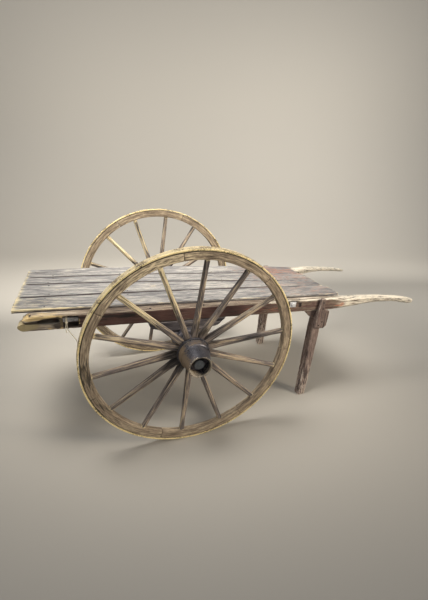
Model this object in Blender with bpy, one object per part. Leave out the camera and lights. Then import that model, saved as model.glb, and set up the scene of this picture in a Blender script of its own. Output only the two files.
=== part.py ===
# Weathered two-wheeled wooden hand cart: flat board deck on two long rails that run on into
# the handles, two cambered spoked wheels on an axle under the deck, and two parking legs.
#
# Units are metres, +Z is up, +X points from the tail to the handles, +Y is the cart's right.
# The bed is drawn square in its own frame, whose origin is the middle of the axle, and then
# tilted about the axle until the legs stand on the ground.

import math

import bmesh
import bpy
from mathutils import Matrix, Vector

# Driving dimensions

GAP = 0.0003                      # between two pieces that touch

# Wheels
WHEEL_RADIUS = 0.620              # outside of the iron tyre at the middle of its tread
TRACK = 1.141                     # between the two rim planes at axle height
CAMBER = math.radians(3.1)        # tops lean outwards
TYRE_WIDTH = 0.042
TYRE_THICKNESS = 0.010
FELLOE_WIDTH = 0.044
FELLOE_DEPTH = 0.0515             # from the tyre's inside to the felloes' inside
FELLOE_INNER_RADIUS = WHEEL_RADIUS - TYRE_THICKNESS - FELLOE_DEPTH
FELLOE_COUNT = 7
SPOKE_COUNT = 14
SPOKE_DISH = 0.028                # how far the spoke roots sit inboard of the rim plane
BAND_BEHIND = 0.028               # half widths of the spokes' band on the nave
BAND_AHEAD = 0.026
RIM_FACETS_PER_SPOKE = 7
NAVE_FACETS_PER_SPOKE = 3
SPOKE_PHASE_LEFT = math.radians(5.07)
SPOKE_PHASE_RIGHT = math.radians(23.22)
FELLOE_JOINT_GAP = 0.0012
FELLOE_DOWEL = 0.014              # the square dowel that joins one felloe to the next
SPOKE_TENON = 0.010               # how deep the spokes run into the nave

# Nave, measured along the axle arm from the rim plane, outwards positive
NAVE_BACK = -0.145
NAVE_FLAT_RADIUS = 0.088          # the fourteen flats that the spokes stand on
NAVE_CORE_RADIUS = 0.070          # under the iron nose sleeve
NAVE_CORE_FRONT = 0.092
NOSE_FRONT = 0.150
NOSE_MOUTH_RADIUS = 0.056
ARM_CLEARANCE = 0.0006

# Axle
ARM_RADIUS = 0.022
BORE_RADIUS = ARM_RADIUS + ARM_CLEARANCE
ARM_TIP = 0.0985
NUT_RADIUS = 0.029
NUT_THICKNESS = 0.030
NUT_CHAMFER = 0.003
COLLAR_RADIUS = 0.040
COLLAR_THICKNESS = 0.014
RUNNING_GAP = 0.003               # between the collar and the back of the nave
BEAM_WIDTH = 0.150
BEAM_TOP = 0.035
BEAM_BOTTOM = -0.055
BEAM_CHAMFER = 0.012

# Rails and handles, in the bed frame
RAIL_TO_RIM = 0.1879              # from the rails' outer faces to the rim planes
RAIL_OUTER = TRACK / 2.0 - RAIL_TO_RIM   # half width over the rails above the axle
RAIL_CONVERGENCE = 0.0156         # loss of half width per metre towards the handles
RAIL_WIDTH = 0.081
RAIL_HEIGHT = 0.0855
RAIL_TOP = 0.1928                 # above the axle's centre
RAIL_TAIL = -0.870
RAIL_CHAMFER = 0.006
TAIL_BEVEL = 0.028                # length and depth of the worn bevel on the tail's top edge
TAIL_DROP = 0.012
HANDLE_START = 1.050
NOSE_LENGTH = 0.039               # how far the rounded lower nose runs past the rail's tail
NOSE_RADIUS = 0.033
NOSE_ROOT = 0.060                 # how far the nose runs into the rail
NOSE_INSET = 0.004                # worn back from the rail's side faces
NOSE_STEPS = 8
HANDLE_CHAMFER_SHARE = 0.29       # worn corner, as a share of a handle's smaller side

# Deck
BOARD_THICKNESS = 0.018
BOARD_GAP = 0.005
DECK_TAIL = -0.935
DECK_HEAD = 1.090

# Cross members
MEMBER_WIDTH = 0.060
MEMBER_HEIGHT = 0.062
TENON_WIDTH = 0.044
TENON_HEIGHT = 0.026
TENON_LENGTH = 0.045
TENON_DROP = 0.045                # from the rail's top to the tenon's middle
TENON_CLEARANCE = 0.0006

# Lashing recess in each rail's outer face, with a bar across it
RECESS_START = -0.690
RECESS_END = -0.606
RECESS_TOP = RAIL_TOP - 0.0108
RECESS_BOTTOM = RAIL_TOP - 0.0738
RECESS_DEPTH = 0.046
RECESS_SLANT = 0.010              # how far the tail cheek leans over its height
CUT_OVERSHOOT = 0.010             # how far a cutter stands out of the face that it cuts
BAR_SET_BACK = 0.008
BAR_DEPTH = 0.018
BAR_HEIGHT = 0.022
BAR_MIDDLE = RAIL_TOP - 0.0338

# Legs, in the bed frame
LEG_TOP_WIDTH = 0.066
LEG_FOOT_WIDTH = 0.060
LEG_HEAD = 0.132                  # length of the leg's head, which the cleat lies on
LEG_HEAD_CHAMFER = 0.003
LEG_FOOT_CHAMFER = 0.008
CLEAT_THICKNESS = 0.022
BRACE_THICKNESS = 0.030
BRACE_REACH = 0.092
BRACE_DROP = 0.062
BRACE_FOOT = 0.030
BRACE_HEEL = 0.007

# Irons on the left rail: start, end, then bottom and top above the rail's top
EYE_PLATE = (0.709, 0.754, -0.0448, -0.0068)
EYE_PLATE_THICKNESS = 0.003
EYE_RADIUS = 0.012
EYE_HEIGHT = 0.010
EYE_SIDES = 10
STAPLE = (0.786, 0.797, -0.0448, -0.0128)
STAPLE_THICKNESS = 0.005

# Twine
TWINE_DIAMETER = 0.0045
TWINE_WRAP = 0.005                # thickness of the turns round the lashing bar
KNOT_RADIUS = 0.0085
KNOT_HALF_HEIGHT = 0.008
TWINE_STEP = 0.0108               # spacing of the points along a twine
ROUTE_PARTS = 12                  # finer steps between two points of a route

BED_TILT = math.radians(4.574)

# Materials: name, colour, roughness, metallic
FINISHES = {
    "grey_board": ((0.245, 0.250, 0.262), 0.86, 0.0),
    "red_rail": ((0.165, 0.072, 0.060), 0.78, 0.0),
    "dark_oak": ((0.110, 0.085, 0.078), 0.84, 0.0),
    "leg_oak": ((0.150, 0.115, 0.105), 0.82, 0.0),
    "wheel_oak": ((0.330, 0.270, 0.200), 0.80, 0.0),
    "nave_iron": ((0.120, 0.120, 0.130), 0.50, 0.85),
    "tyre_iron": ((0.420, 0.340, 0.230), 0.60, 0.70),
    "plate_iron": ((0.380, 0.400, 0.420), 0.55, 0.70),
    "twine": ((0.520, 0.470, 0.380), 0.92, 0.0),
}


# Shared tools

def clear_scene():
    for obj in list(bpy.data.objects):
        bpy.data.objects.remove(obj, do_unlink=True)


def finish_material(name):
    material = bpy.data.materials.get(name)
    if material is not None:
        return material
    colour, roughness, metallic = FINISHES[name]
    material = bpy.data.materials.new(name)
    material.use_nodes = True
    shader = material.node_tree.nodes["Principled BSDF"]
    shader.inputs["Base Color"].default_value = (*colour, 1.0)
    shader.inputs["Roughness"].default_value = roughness
    shader.inputs["Metallic"].default_value = metallic
    material.diffuse_color = (*colour, 1.0)
    return material


def add_empty(name, parent=None, location=(0.0, 0.0, 0.0), rotation=(0.0, 0.0, 0.0)):
    empty = bpy.data.objects.new(name, None)
    bpy.context.scene.collection.objects.link(empty)
    empty.parent = parent
    empty.location = location
    empty.rotation_euler = rotation
    return empty


def add_piece(name, bm, finish, parent, rotation=(0.0, 0.0, 0.0), smooth=False):
    mesh = bpy.data.meshes.new(name)
    bmesh.ops.recalc_face_normals(bm, faces=bm.faces)
    bm.to_mesh(mesh)
    bm.free()
    mesh.materials.append(finish_material(finish))
    if smooth:
        mesh.shade_smooth()
        mesh.set_sharp_from_angle(angle=math.radians(30.0))
    piece = bpy.data.objects.new(name, mesh)
    bpy.context.scene.collection.objects.link(piece)
    piece.parent = parent
    piece.rotation_euler = rotation
    return piece


def bridge(bm, first, second):
    count = len(first)
    for i in range(count):
        j = (i + 1) % count
        bm.faces.new((first[i], first[j], second[j], second[i]))


def loft(bm, sections, closed=False):
    """Skins a list of rings of points. An open loft gets a flat cap at each end."""
    rings = [[bm.verts.new(point) for point in section] for section in sections]
    for first, second in zip(rings, rings[1:]):
        bridge(bm, first, second)
    if closed:
        bridge(bm, rings[-1], rings[0])
    else:
        bm.faces.new(list(reversed(rings[0])))
        bm.faces.new(rings[-1])


def prism(bm, outline, low, high, place):
    """Extrudes a 2D outline between two distances; place turns (u, v, distance) into a point."""
    loft(bm, [[place(u, v, distance) for u, v in outline] for distance in (low, high)])


def combine(piece, bm, name, operation):
    """Adds a solid to a piece, or cuts it away, with the solid kept as a hidden wire."""
    mesh = bpy.data.meshes.new(name)
    bmesh.ops.recalc_face_normals(bm, faces=bm.faces)
    bm.to_mesh(mesh)
    bm.free()
    tool = bpy.data.objects.new(name, mesh)
    bpy.context.scene.collection.objects.link(tool)
    tool.parent = piece.parent
    tool.rotation_euler = piece.rotation_euler
    tool.hide_render = True
    tool.display_type = "WIRE"
    modifier = piece.modifiers.new(name, "BOOLEAN")
    modifier.operation = operation
    modifier.solver = "EXACT"
    modifier.object = tool


def cut(piece, bm, name):
    combine(piece, bm, name, "DIFFERENCE")


def join(piece, bm, name):
    combine(piece, bm, name, "UNION")


def add_box(bm, low, high):
    corners = [(low[0], low[1]), (high[0], low[1]), (high[0], high[1]), (low[0], high[1])]
    prism(bm, corners, low[2], high[2], lambda x, y, z: (x, y, z))


def mixed(first, second, share):
    return first + (second - first) * share


# Wheel geometry, with the axle arm along local +Z and the rim plane at z = 0

PITCH = 2.0 * math.pi / SPOKE_COUNT


def faceted(apothem, angle, facets_per_spoke):
    """Radius, at an angle, of a many-sided ring with a flat in the middle of every spoke."""
    step = PITCH / facets_per_spoke
    off_middle = (angle + step / 2.0) % step - step / 2.0
    return apothem / math.cos(off_middle)


def polar(radius, angle, z):
    return (radius * math.cos(angle), radius * math.sin(angle), z)


def rim_apothem(radius):
    return radius * math.cos(PITCH / RIM_FACETS_PER_SPOKE / 2.0)


def tread_drop(z):
    """The tread is coned so that a cambered wheel still stands flat on the ground."""
    return -z * math.tan(CAMBER)


def rim_section(low_inner, low_outer, high_inner, high_outer, width, angle):
    """Four corners of a rim's section: its radii on the inboard face, then on the outboard face."""
    corners = ((low_inner, -1), (low_outer, -1), (high_outer, 1), (high_inner, 1))
    section = []
    for radius, side in corners:
        turned = faceted(radius, angle, RIM_FACETS_PER_SPOKE)
        section.append(polar(turned, angle, side * width / 2.0))
    return section


def coned(radius, width, side):
    """A tread's radius at one edge of its width."""
    return radius + tread_drop(side * width / 2.0)


def facet_corner_angles(facets_per_spoke):
    count = SPOKE_COUNT * facets_per_spoke
    step = 2.0 * math.pi / count
    return [step * (index + 0.5) for index in range(count)]


def build_tyre(name, parent, phase):
    outer = rim_apothem(WHEEL_RADIUS)
    inner = outer - TYRE_THICKNESS
    radii = (coned(inner, TYRE_WIDTH, -1), coned(outer, TYRE_WIDTH, -1),
             coned(inner, TYRE_WIDTH, 1), coned(outer, TYRE_WIDTH, 1))
    bm = bmesh.new()
    angles = facet_corner_angles(RIM_FACETS_PER_SPOKE)
    loft(bm, [rim_section(*radii, TYRE_WIDTH, angle) for angle in angles], closed=True)
    return add_piece(name, bm, "tyre_iron", parent, (0.0, 0.0, phase), smooth=True)


def build_felloes(name, parent, phase):
    """Seven curved blocks that carry two spokes each, held end to end by dowels."""
    outer = rim_apothem(WHEEL_RADIUS) - TYRE_THICKNESS - GAP
    inner = FELLOE_INNER_RADIUS
    block = (inner, coned(outer, FELLOE_WIDTH, -1), inner, coned(outer, FELLOE_WIDTH, 1))
    middle = (inner + outer) / 2.0
    low = middle - FELLOE_DOWEL / 2.0
    high = middle + FELLOE_DOWEL / 2.0
    dowel = (low, high, low, high)
    spokes_each = SPOKE_COUNT // FELLOE_COUNT
    span = PITCH * spokes_each
    steps = RIM_FACETS_PER_SPOKE * spokes_each
    half_joint = FELLOE_JOINT_GAP / 2.0 / outer
    sections = []
    for index in range(FELLOE_COUNT):
        start = index * span - PITCH / 2.0
        angles = [start + span * step / steps for step in range(steps + 1)]
        angles[0] += half_joint
        angles[-1] -= half_joint
        sections.append(rim_section(*dowel, FELLOE_DOWEL, angles[0]))
        sections += [rim_section(*block, FELLOE_WIDTH, angle) for angle in angles]
        sections.append(rim_section(*dowel, FELLOE_DOWEL, angles[-1]))
    bm = bmesh.new()
    loft(bm, sections, closed=True)
    return add_piece(name, bm, "wheel_oak", parent, (0.0, 0.0, phase), smooth=True)


# Spoke stations: share of the length, width across the wheel, depth along the axle, worn chamfer
SPOKE_STATIONS = (
    (0.00, 0.0365, 0.046, 0.004),
    (0.12, 0.0365, 0.044, 0.007),
    (0.55, 0.0330, 0.035, 0.010),
    (1.00, 0.0300, 0.031, 0.009),
)


def chamfered_rectangle(width, depth, chamfer):
    x = width / 2.0
    y = depth / 2.0
    return [(-x + chamfer, -y), (x - chamfer, -y), (x, -y + chamfer), (x, y - chamfer),
            (x - chamfer, y), (-x + chamfer, y), (-x, y - chamfer), (-x, -y + chamfer)]


def spoke_bodies():
    """All spokes of a wheel, from inside the nave to the felloes."""
    root = NAVE_FLAT_RADIUS - SPOKE_TENON
    tip = FELLOE_INNER_RADIUS - GAP
    bm = bmesh.new()
    for index in range(SPOKE_COUNT):
        turn = Matrix.Rotation(index * PITCH, 3, "Z")
        sections = []
        for share, width, depth, chamfer in SPOKE_STATIONS:
            radius = mixed(root, tip, share)
            z = -SPOKE_DISH * (1.0 - share)
            outline = chamfered_rectangle(width, depth, chamfer)
            sections.append([turn @ Vector((radius, u, z + v)) for u, v in outline])
        loft(bm, sections)
    return bm


def lathe(bm, profile, closed=True):
    """Turns a profile of (z, radius, flats) about the arm; flats gives the spokes' fourteen sides."""
    sections = []
    for angle in facet_corner_angles(NAVE_FACETS_PER_SPOKE):
        section = []
        for z, radius, flats in profile:
            turned = faceted(radius, angle, 1) if flats else radius
            section.append(polar(turned, angle, z))
        sections.append(section)
    loft(bm, sections, closed=closed)


def ring_profile(back, front, inner, outer):
    return ((back, inner, False), (back, outer, False), (front, outer, False), (front, inner, False))


BAND_BACK = -SPOKE_DISH - BAND_BEHIND
BAND_FRONT = -SPOKE_DISH + BAND_AHEAD
BACK_HOOP_WIDTH = 0.018
FRONT_HOOP_WIDTH = 0.015
INNER_HOOP_WIDTH = 0.022
BACK_HOOP_RADIUS = 0.0945
FRONT_HOOP_RADIUS = 0.0955
INNER_HOOP_RADIUS = 0.0775
HOOP_SEAT = 0.0875
INNER_SEAT = 0.0725
INNER_SHOULDER = 0.003            # rise of the wood in front of the inner hoop
HOOP_LEDGE = 0.004                # bare wood behind the back hoop
HOOP_FRONT = BAND_FRONT + GAP + FRONT_HOOP_WIDTH


def build_spoked_nave(name, parent, phase):
    """The nave with its fourteen spokes driven in."""
    back_hoop = BAND_BACK - GAP - BACK_HOOP_WIDTH
    profile = (
        (NAVE_BACK, BORE_RADIUS, False),
        (NAVE_BACK, INNER_SEAT, False),
        (NAVE_BACK + INNER_HOOP_WIDTH + GAP, INNER_SEAT, False),
        (NAVE_BACK + INNER_HOOP_WIDTH + GAP, INNER_SEAT + INNER_SHOULDER, False),
        (back_hoop - HOOP_LEDGE, HOOP_SEAT, False),
        (BAND_BACK, HOOP_SEAT, False),
        (BAND_BACK, NAVE_FLAT_RADIUS, True),
        (BAND_FRONT, NAVE_FLAT_RADIUS, True),
        (BAND_FRONT, HOOP_SEAT, False),
        (HOOP_FRONT, HOOP_SEAT, False),
        (HOOP_FRONT, NAVE_CORE_RADIUS, False),
        (NAVE_CORE_FRONT, NAVE_CORE_RADIUS, False),
        (NAVE_CORE_FRONT, BORE_RADIUS, False),
    )
    bm = bmesh.new()
    lathe(bm, profile)
    nave = add_piece(name, bm, "wheel_oak", parent, (0.0, 0.0, phase), smooth=True)
    join(nave, spoke_bodies(), name + "_spokes")
    return nave


# Iron nose sleeve, outside: distance in front of the hoop, radius
NOSE_OUTSIDE = (
    (0.000, 0.0895),
    (0.040, 0.0860),
    (0.044, 0.0800),
    (0.118, 0.0675),
    (0.132, 0.0655),
)


def build_nose(name, parent, phase):
    back = HOOP_FRONT + GAP
    length = NOSE_FRONT - back
    reach = NOSE_OUTSIDE[-1][0]
    core = NAVE_CORE_RADIUS + GAP
    floor = NAVE_CORE_FRONT + GAP
    profile = [(back + z * length / reach, radius, False) for z, radius in NOSE_OUTSIDE]
    profile += [(NOSE_FRONT, NOSE_MOUTH_RADIUS, False), (floor, NOSE_MOUTH_RADIUS, False)]
    profile += [(floor, core, False), (back, core, False)]
    bm = bmesh.new()
    lathe(bm, profile)
    return add_piece(name, bm, "nave_iron", parent, (0.0, 0.0, phase), smooth=True)


def build_hoop(name, parent, phase, back, width, seat, outer):
    bm = bmesh.new()
    lathe(bm, ring_profile(back, back + width, seat + GAP, outer))
    return add_piece(name, bm, "nave_iron", parent, (0.0, 0.0, phase), smooth=True)


def build_wheel(side_name, parent, phase):
    build_tyre("tyre_" + side_name, parent, phase)
    build_felloes("felloes_" + side_name, parent, phase)
    build_spoked_nave("spoked_nave_" + side_name, parent, phase)
    build_nose("nave_nose_" + side_name, parent, phase)
    # Hoops: name, back end, width, seat radius, outer radius
    hoops = (
        ("front", BAND_FRONT + GAP, FRONT_HOOP_WIDTH, HOOP_SEAT, FRONT_HOOP_RADIUS),
        ("back", BAND_BACK - GAP - BACK_HOOP_WIDTH, BACK_HOOP_WIDTH, HOOP_SEAT, BACK_HOOP_RADIUS),
        ("inner", NAVE_BACK, INNER_HOOP_WIDTH, INNER_SEAT, INNER_HOOP_RADIUS),
    )
    for place, back, width, seat, outer in hoops:
        build_hoop("nave_hoop_" + place + "_" + side_name, parent, phase, back, width, seat, outer)


# Axle

COLLAR_FRONT = NAVE_BACK - RUNNING_GAP
COLLAR_BACK = COLLAR_FRONT - COLLAR_THICKNESS


def build_axle_arm(name, parent):
    profile = (
        (COLLAR_BACK, COLLAR_RADIUS),
        (COLLAR_FRONT, COLLAR_RADIUS),
        (COLLAR_FRONT, ARM_RADIUS),
        (ARM_TIP, ARM_RADIUS),
    )
    angles = facet_corner_angles(NAVE_FACETS_PER_SPOKE)
    bm = bmesh.new()
    loft(bm, [[polar(radius, angle, z) for angle in angles] for z, radius in profile])
    return add_piece(name, bm, "nave_iron", parent, smooth=True)


def build_axle_nut(name, parent):
    angles = facet_corner_angles(NAVE_FACETS_PER_SPOKE)
    back = ARM_TIP + GAP
    front = back + NUT_THICKNESS
    profile = ((back, NUT_RADIUS), (front - NUT_CHAMFER, NUT_RADIUS), (front, NUT_RADIUS - NUT_CHAMFER))
    bm = bmesh.new()
    loft(bm, [[polar(radius, angle, z) for angle in angles] for z, radius in profile])
    return add_piece(name, bm, "nave_iron", parent, smooth=True)


def beam_end(side, x, z):
    """The beam's end lies flat on the arm's collar, which leans with the camber."""
    height = z * math.cos(BED_TILT) - x * math.sin(BED_TILT)
    from_rim = (COLLAR_BACK - GAP) / math.cos(CAMBER)
    return side * (TRACK / 2.0 + from_rim + height * math.tan(CAMBER))


def build_axle_beam(parent):
    half = BEAM_WIDTH / 2.0
    outline = [(-half + BEAM_CHAMFER, BEAM_BOTTOM), (half - BEAM_CHAMFER, BEAM_BOTTOM),
               (half, BEAM_BOTTOM + BEAM_CHAMFER), (half, BEAM_TOP),
               (-half, BEAM_TOP), (-half, BEAM_BOTTOM + BEAM_CHAMFER)]
    bm = bmesh.new()
    loft(bm, [[(x, beam_end(side, x, z), z) for x, z in outline] for side in (-1, 1)])
    return add_piece("axle_beam", bm, "dark_oak", parent)


# Rails

def rail_outer(x):
    return RAIL_OUTER - RAIL_CONVERGENCE * x


def rail_inner(x):
    return rail_outer(x) - RAIL_WIDTH


def inside_rail(side):
    """Places (x, z, depth), where depth runs inwards from the rail's outer face."""
    return lambda x, z, depth: (x, side * (rail_outer(x) - depth), z)


def outside_rail(side):
    """Places (x, z, height), where height stands out from the rail's outer face."""
    return lambda x, z, height: (x, side * (rail_outer(x) + height), z)


RAIL_BOTTOM = RAIL_TOP - RAIL_HEIGHT

# Handle stations: x, shift out from the rail's middle, top and bottom above the rail's top, width
HANDLE_LEFT = (
    (1.150, 0.0078, 0.0000, -0.0843, 0.072),
    (1.250, 0.0173, 0.0077, -0.0688, 0.060),
    (1.340, 0.0268, 0.0102, -0.0528, 0.054),
    (1.430, 0.0373, 0.0107, -0.0418, 0.050),
    (1.570, 0.0553, 0.0057, -0.0388, 0.045),
    (1.690, 0.0708, -0.0073, -0.0553, 0.046),
    (1.722, 0.0748, -0.0178, -0.0508, 0.032),
)
HANDLE_RIGHT = (
    (1.150, 0.0078, 0.0000, -0.0808, 0.070),
    (1.250, 0.0173, 0.0042, -0.0598, 0.056),
    (1.340, 0.0268, -0.0003, -0.0483, 0.048),
    (1.430, 0.0373, -0.0058, -0.0468, 0.042),
    (1.570, 0.0553, -0.0203, -0.0558, 0.036),
    (1.690, 0.0708, -0.0393, -0.0688, 0.031),
    (1.716, 0.0743, -0.0478, -0.0688, 0.022),
)
HANDLES = {"left": HANDLE_LEFT, "right": HANDLE_RIGHT}
SIDES = {"left": -1, "right": 1}


def rail_section(side, x, middle, width, low, high, chamfer):
    centre = (low + high) / 2.0
    outline = chamfered_rectangle(width, high - low, chamfer)
    return [(x, side * (middle + u), centre + v) for u, v in outline]


def build_rail(side_name, parent):
    """One timber: the square rail, then the handle that it is shaved down to."""
    side = SIDES[side_name]
    sections = []
    ends = ((RAIL_TAIL, TAIL_DROP), (RAIL_TAIL + TAIL_BEVEL, 0.0), (HANDLE_START, 0.0))
    for x, drop in ends:
        middle = rail_outer(x) - RAIL_WIDTH / 2.0
        high = RAIL_TOP - drop
        sections.append(rail_section(side, x, middle, RAIL_WIDTH, RAIL_BOTTOM, high, RAIL_CHAMFER))
    start = rail_outer(HANDLE_START) - RAIL_WIDTH / 2.0
    for x, shift, top, bottom, width in HANDLES[side_name]:
        chamfer = min(width, top - bottom) * HANDLE_CHAMFER_SHARE
        low = RAIL_TOP + bottom
        high = RAIL_TOP + top
        sections.append(rail_section(side, x, start + shift, width, low, high, chamfer))
    bm = bmesh.new()
    loft(bm, sections)
    rail = add_piece("rail_" + side_name, bm, "red_rail", parent)
    join_tail_nose(rail, side)
    cut_recess(rail, side, side_name)
    cut_mortises(rail, side, side_name)
    if side_name == "left":
        cut_split(rail, side)
    return rail


def join_tail_nose(rail, side):
    """The lower part of the tail runs on as a rounded nose."""
    centre_x = RAIL_TAIL - NOSE_LENGTH + NOSE_RADIUS
    centre_z = RAIL_BOTTOM + NOSE_RADIUS
    outline = [(RAIL_TAIL + NOSE_ROOT, RAIL_BOTTOM + RAIL_CHAMFER)]
    for step in range(NOSE_STEPS + 1):
        angle = -math.pi / 2.0 - math.pi * step / NOSE_STEPS
        outline.append((centre_x + NOSE_RADIUS * math.cos(angle), centre_z + NOSE_RADIUS * math.sin(angle)))
    outline.append((RAIL_TAIL + NOSE_ROOT, centre_z + NOSE_RADIUS))
    bm = bmesh.new()
    prism(bm, outline, NOSE_INSET, RAIL_WIDTH - NOSE_INSET, inside_rail(side))
    join(rail, bm, rail.name + "_tail_nose")


def cut_recess(rail, side, side_name):
    """The hollow that the lashing bar crosses."""
    outline = [(RECESS_START, RECESS_TOP), (RECESS_START + RECESS_SLANT, RECESS_BOTTOM),
               (RECESS_END, RECESS_BOTTOM), (RECESS_END, RECESS_TOP)]
    bm = bmesh.new()
    prism(bm, outline, -CUT_OVERSHOOT, RECESS_DEPTH, inside_rail(side))
    cut(rail, bm, "recess_cutter_" + side_name)


# The split that rot has opened in the left rail, behind the tail: x, height above the rail's top
SPLIT_OUTLINE = (
    (-0.818, -0.0328),
    (-0.796, -0.0398),
    (-0.712, -0.0428),
    (-0.703, -0.0328),
    (-0.710, -0.0208),
    (-0.790, -0.0228),
)
SPLIT_DEPTH = 0.028


def cut_split(rail, side):
    bm = bmesh.new()
    outline = [(x, RAIL_TOP + z) for x, z in SPLIT_OUTLINE]
    prism(bm, outline, -CUT_OVERSHOOT, SPLIT_DEPTH, inside_rail(side))
    cut(rail, bm, "split_cutter")


# Cross members: name, x of the middle
CROSS_MEMBERS = (("tail", -0.780), ("rear", -0.330), ("front", 0.360), ("head", 0.860))
MEMBER_TOP = RAIL_TOP - GAP
TENON_MIDDLE = RAIL_TOP - TENON_DROP


def cut_mortises(rail, side, side_name):
    bm = bmesh.new()
    half = TENON_WIDTH / 2.0 + TENON_CLEARANCE
    rise = TENON_HEIGHT / 2.0 + TENON_CLEARANCE
    for name, x in CROSS_MEMBERS:
        inner = rail_inner(x) - CUT_OVERSHOOT
        deep = rail_inner(x) + TENON_LENGTH + TENON_CLEARANCE
        low = (x - half, min(side * inner, side * deep), TENON_MIDDLE - rise)
        high = (x + half, max(side * inner, side * deep), TENON_MIDDLE + rise)
        add_box(bm, low, high)
    cut(rail, bm, "mortise_cutter_" + side_name)


def build_cross_member(name, x, parent):
    """A bearer between the rails, with a tenon at each end."""
    half = MEMBER_WIDTH / 2.0
    tenon = TENON_WIDTH / 2.0
    head_end = rail_inner(x + half) - GAP
    tail_end = rail_inner(x - half) - GAP
    body = [(x + half, head_end), (x - half, tail_end), (x - half, -tail_end), (x + half, -head_end)]
    bm = bmesh.new()
    prism(bm, body, MEMBER_TOP - MEMBER_HEIGHT, MEMBER_TOP, lambda u, v, z: (u, v, z))
    member = add_piece("cross_member_" + name, bm, "dark_oak", parent)
    far = rail_inner(x) + TENON_LENGTH
    tongue = bmesh.new()
    add_box(tongue, (x - tenon, -far, TENON_MIDDLE - TENON_HEIGHT / 2.0),
            (x + tenon, far, TENON_MIDDLE + TENON_HEIGHT / 2.0))
    join(member, tongue, member.name + "_tenons")
    return member


# Deck boards

# Joint lines across the deck, as shares of the half width: at the tail, the middle and the head
DECK_LINES = (
    (-0.8547, -0.8442, -0.8312),
    (-0.4182, -0.3659, -0.4104),
    (0.1464, 0.0941, -0.1464),
    (0.4652, 0.5227, 0.3476),
    (0.9148, 1.0089, 0.7946),
)
# Boards from the left: shift of the tail end, shift of the head end
BOARD_ENDS = ((0.010, 0.035), (-0.001, 0.006), (0.0, 0.010), (0.0, -0.020))
BOARD_STATIONS = 7
DECK_BOTTOM = RAIL_TOP + GAP
DECK_TOP = DECK_BOTTOM + BOARD_THICKNESS


def line_at(line, share):
    """A smooth curve through a joint line's three places."""
    tail, middle, head = line
    place = (tail * 2.0 * (share - 0.5) * (share - 1.0) - middle * 4.0 * share * (share - 1.0)
             + head * 2.0 * share * (share - 0.5))
    return place * RAIL_OUTER


def build_board(index, parent):
    tail_shift, head_shift = BOARD_ENDS[index]
    low_line = DECK_LINES[index]
    high_line = DECK_LINES[index + 1]
    low_gap = BOARD_GAP / 2.0 if index > 0 else 0.0
    high_gap = BOARD_GAP / 2.0 if index < len(BOARD_ENDS) - 1 else 0.0
    sections = []
    for station in range(BOARD_STATIONS):
        share = station / (BOARD_STATIONS - 1)
        x = mixed(DECK_TAIL + tail_shift, DECK_HEAD + head_shift, share)
        low = line_at(low_line, share) + low_gap
        high = line_at(high_line, share) - high_gap
        sections.append([(x, low, DECK_BOTTOM), (x, high, DECK_BOTTOM), (x, high, DECK_TOP), (x, low, DECK_TOP)])
    bm = bmesh.new()
    loft(bm, sections)
    return add_piece("deck_board_" + str(index + 1), bm, "grey_board", parent)


# Saddles between the rails and the axle beam: x, height
SADDLE_OUTLINE = (
    (-0.231, RAIL_BOTTOM - GAP),
    (-0.212, BEAM_TOP + 0.035),
    (-0.129, BEAM_TOP + 0.008),
    (-0.080, BEAM_TOP + GAP),
    (0.080, BEAM_TOP + GAP),
    (0.150, BEAM_TOP + 0.010),
    (0.213, BEAM_TOP + 0.025),
    (0.261, RAIL_BOTTOM - GAP),
)


def build_saddle(side_name, parent):
    side = SIDES[side_name]
    bm = bmesh.new()
    prism(bm, SADDLE_OUTLINE, 0.0, RAIL_WIDTH, inside_rail(side))
    return add_piece("saddle_" + side_name, bm, "dark_oak", parent)


def build_lashing_bar(side_name, parent):
    side = SIDES[side_name]
    slope = RECESS_SLANT / (RECESS_TOP - RECESS_BOTTOM)
    outline = []
    for z in (BAR_MIDDLE - BAR_HEIGHT / 2.0, BAR_MIDDLE + BAR_HEIGHT / 2.0):
        cheek = RECESS_START + (RECESS_TOP - z) * slope + GAP
        outline.append((cheek, z))
    low, high = outline
    outline = [low, (RECESS_END - GAP, low[1]), (RECESS_END - GAP, high[1]), high]
    bm = bmesh.new()
    prism(bm, outline, BAR_SET_BACK, BAR_SET_BACK + BAR_DEPTH, inside_rail(side))
    return add_piece("lashing_bar_" + side_name, bm, "plate_iron", parent)


# Legs: x of the top's middle, x of the foot's middle, splay of the foot out from the rail's line
LEGS = {"left": (0.967, 0.908, 0.0406), "right": (0.905, 0.933, 0.0410)}
FOOT_BELOW_AXLE = WHEEL_RADIUS * math.cos(CAMBER)


def foot_height(x):
    """Height in the bed frame of the ground under a place x."""
    return -(FOOT_BELOW_AXLE - x * math.sin(BED_TILT)) / math.cos(BED_TILT)


def leg_middle(side_name, z):
    """The x of a leg's middle at a height in the bed frame."""
    top_x, foot_x = LEGS[side_name][:2]
    top = RAIL_BOTTOM - GAP
    return mixed(top_x, foot_x, (top - z) / (top - foot_height(foot_x)))


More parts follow.
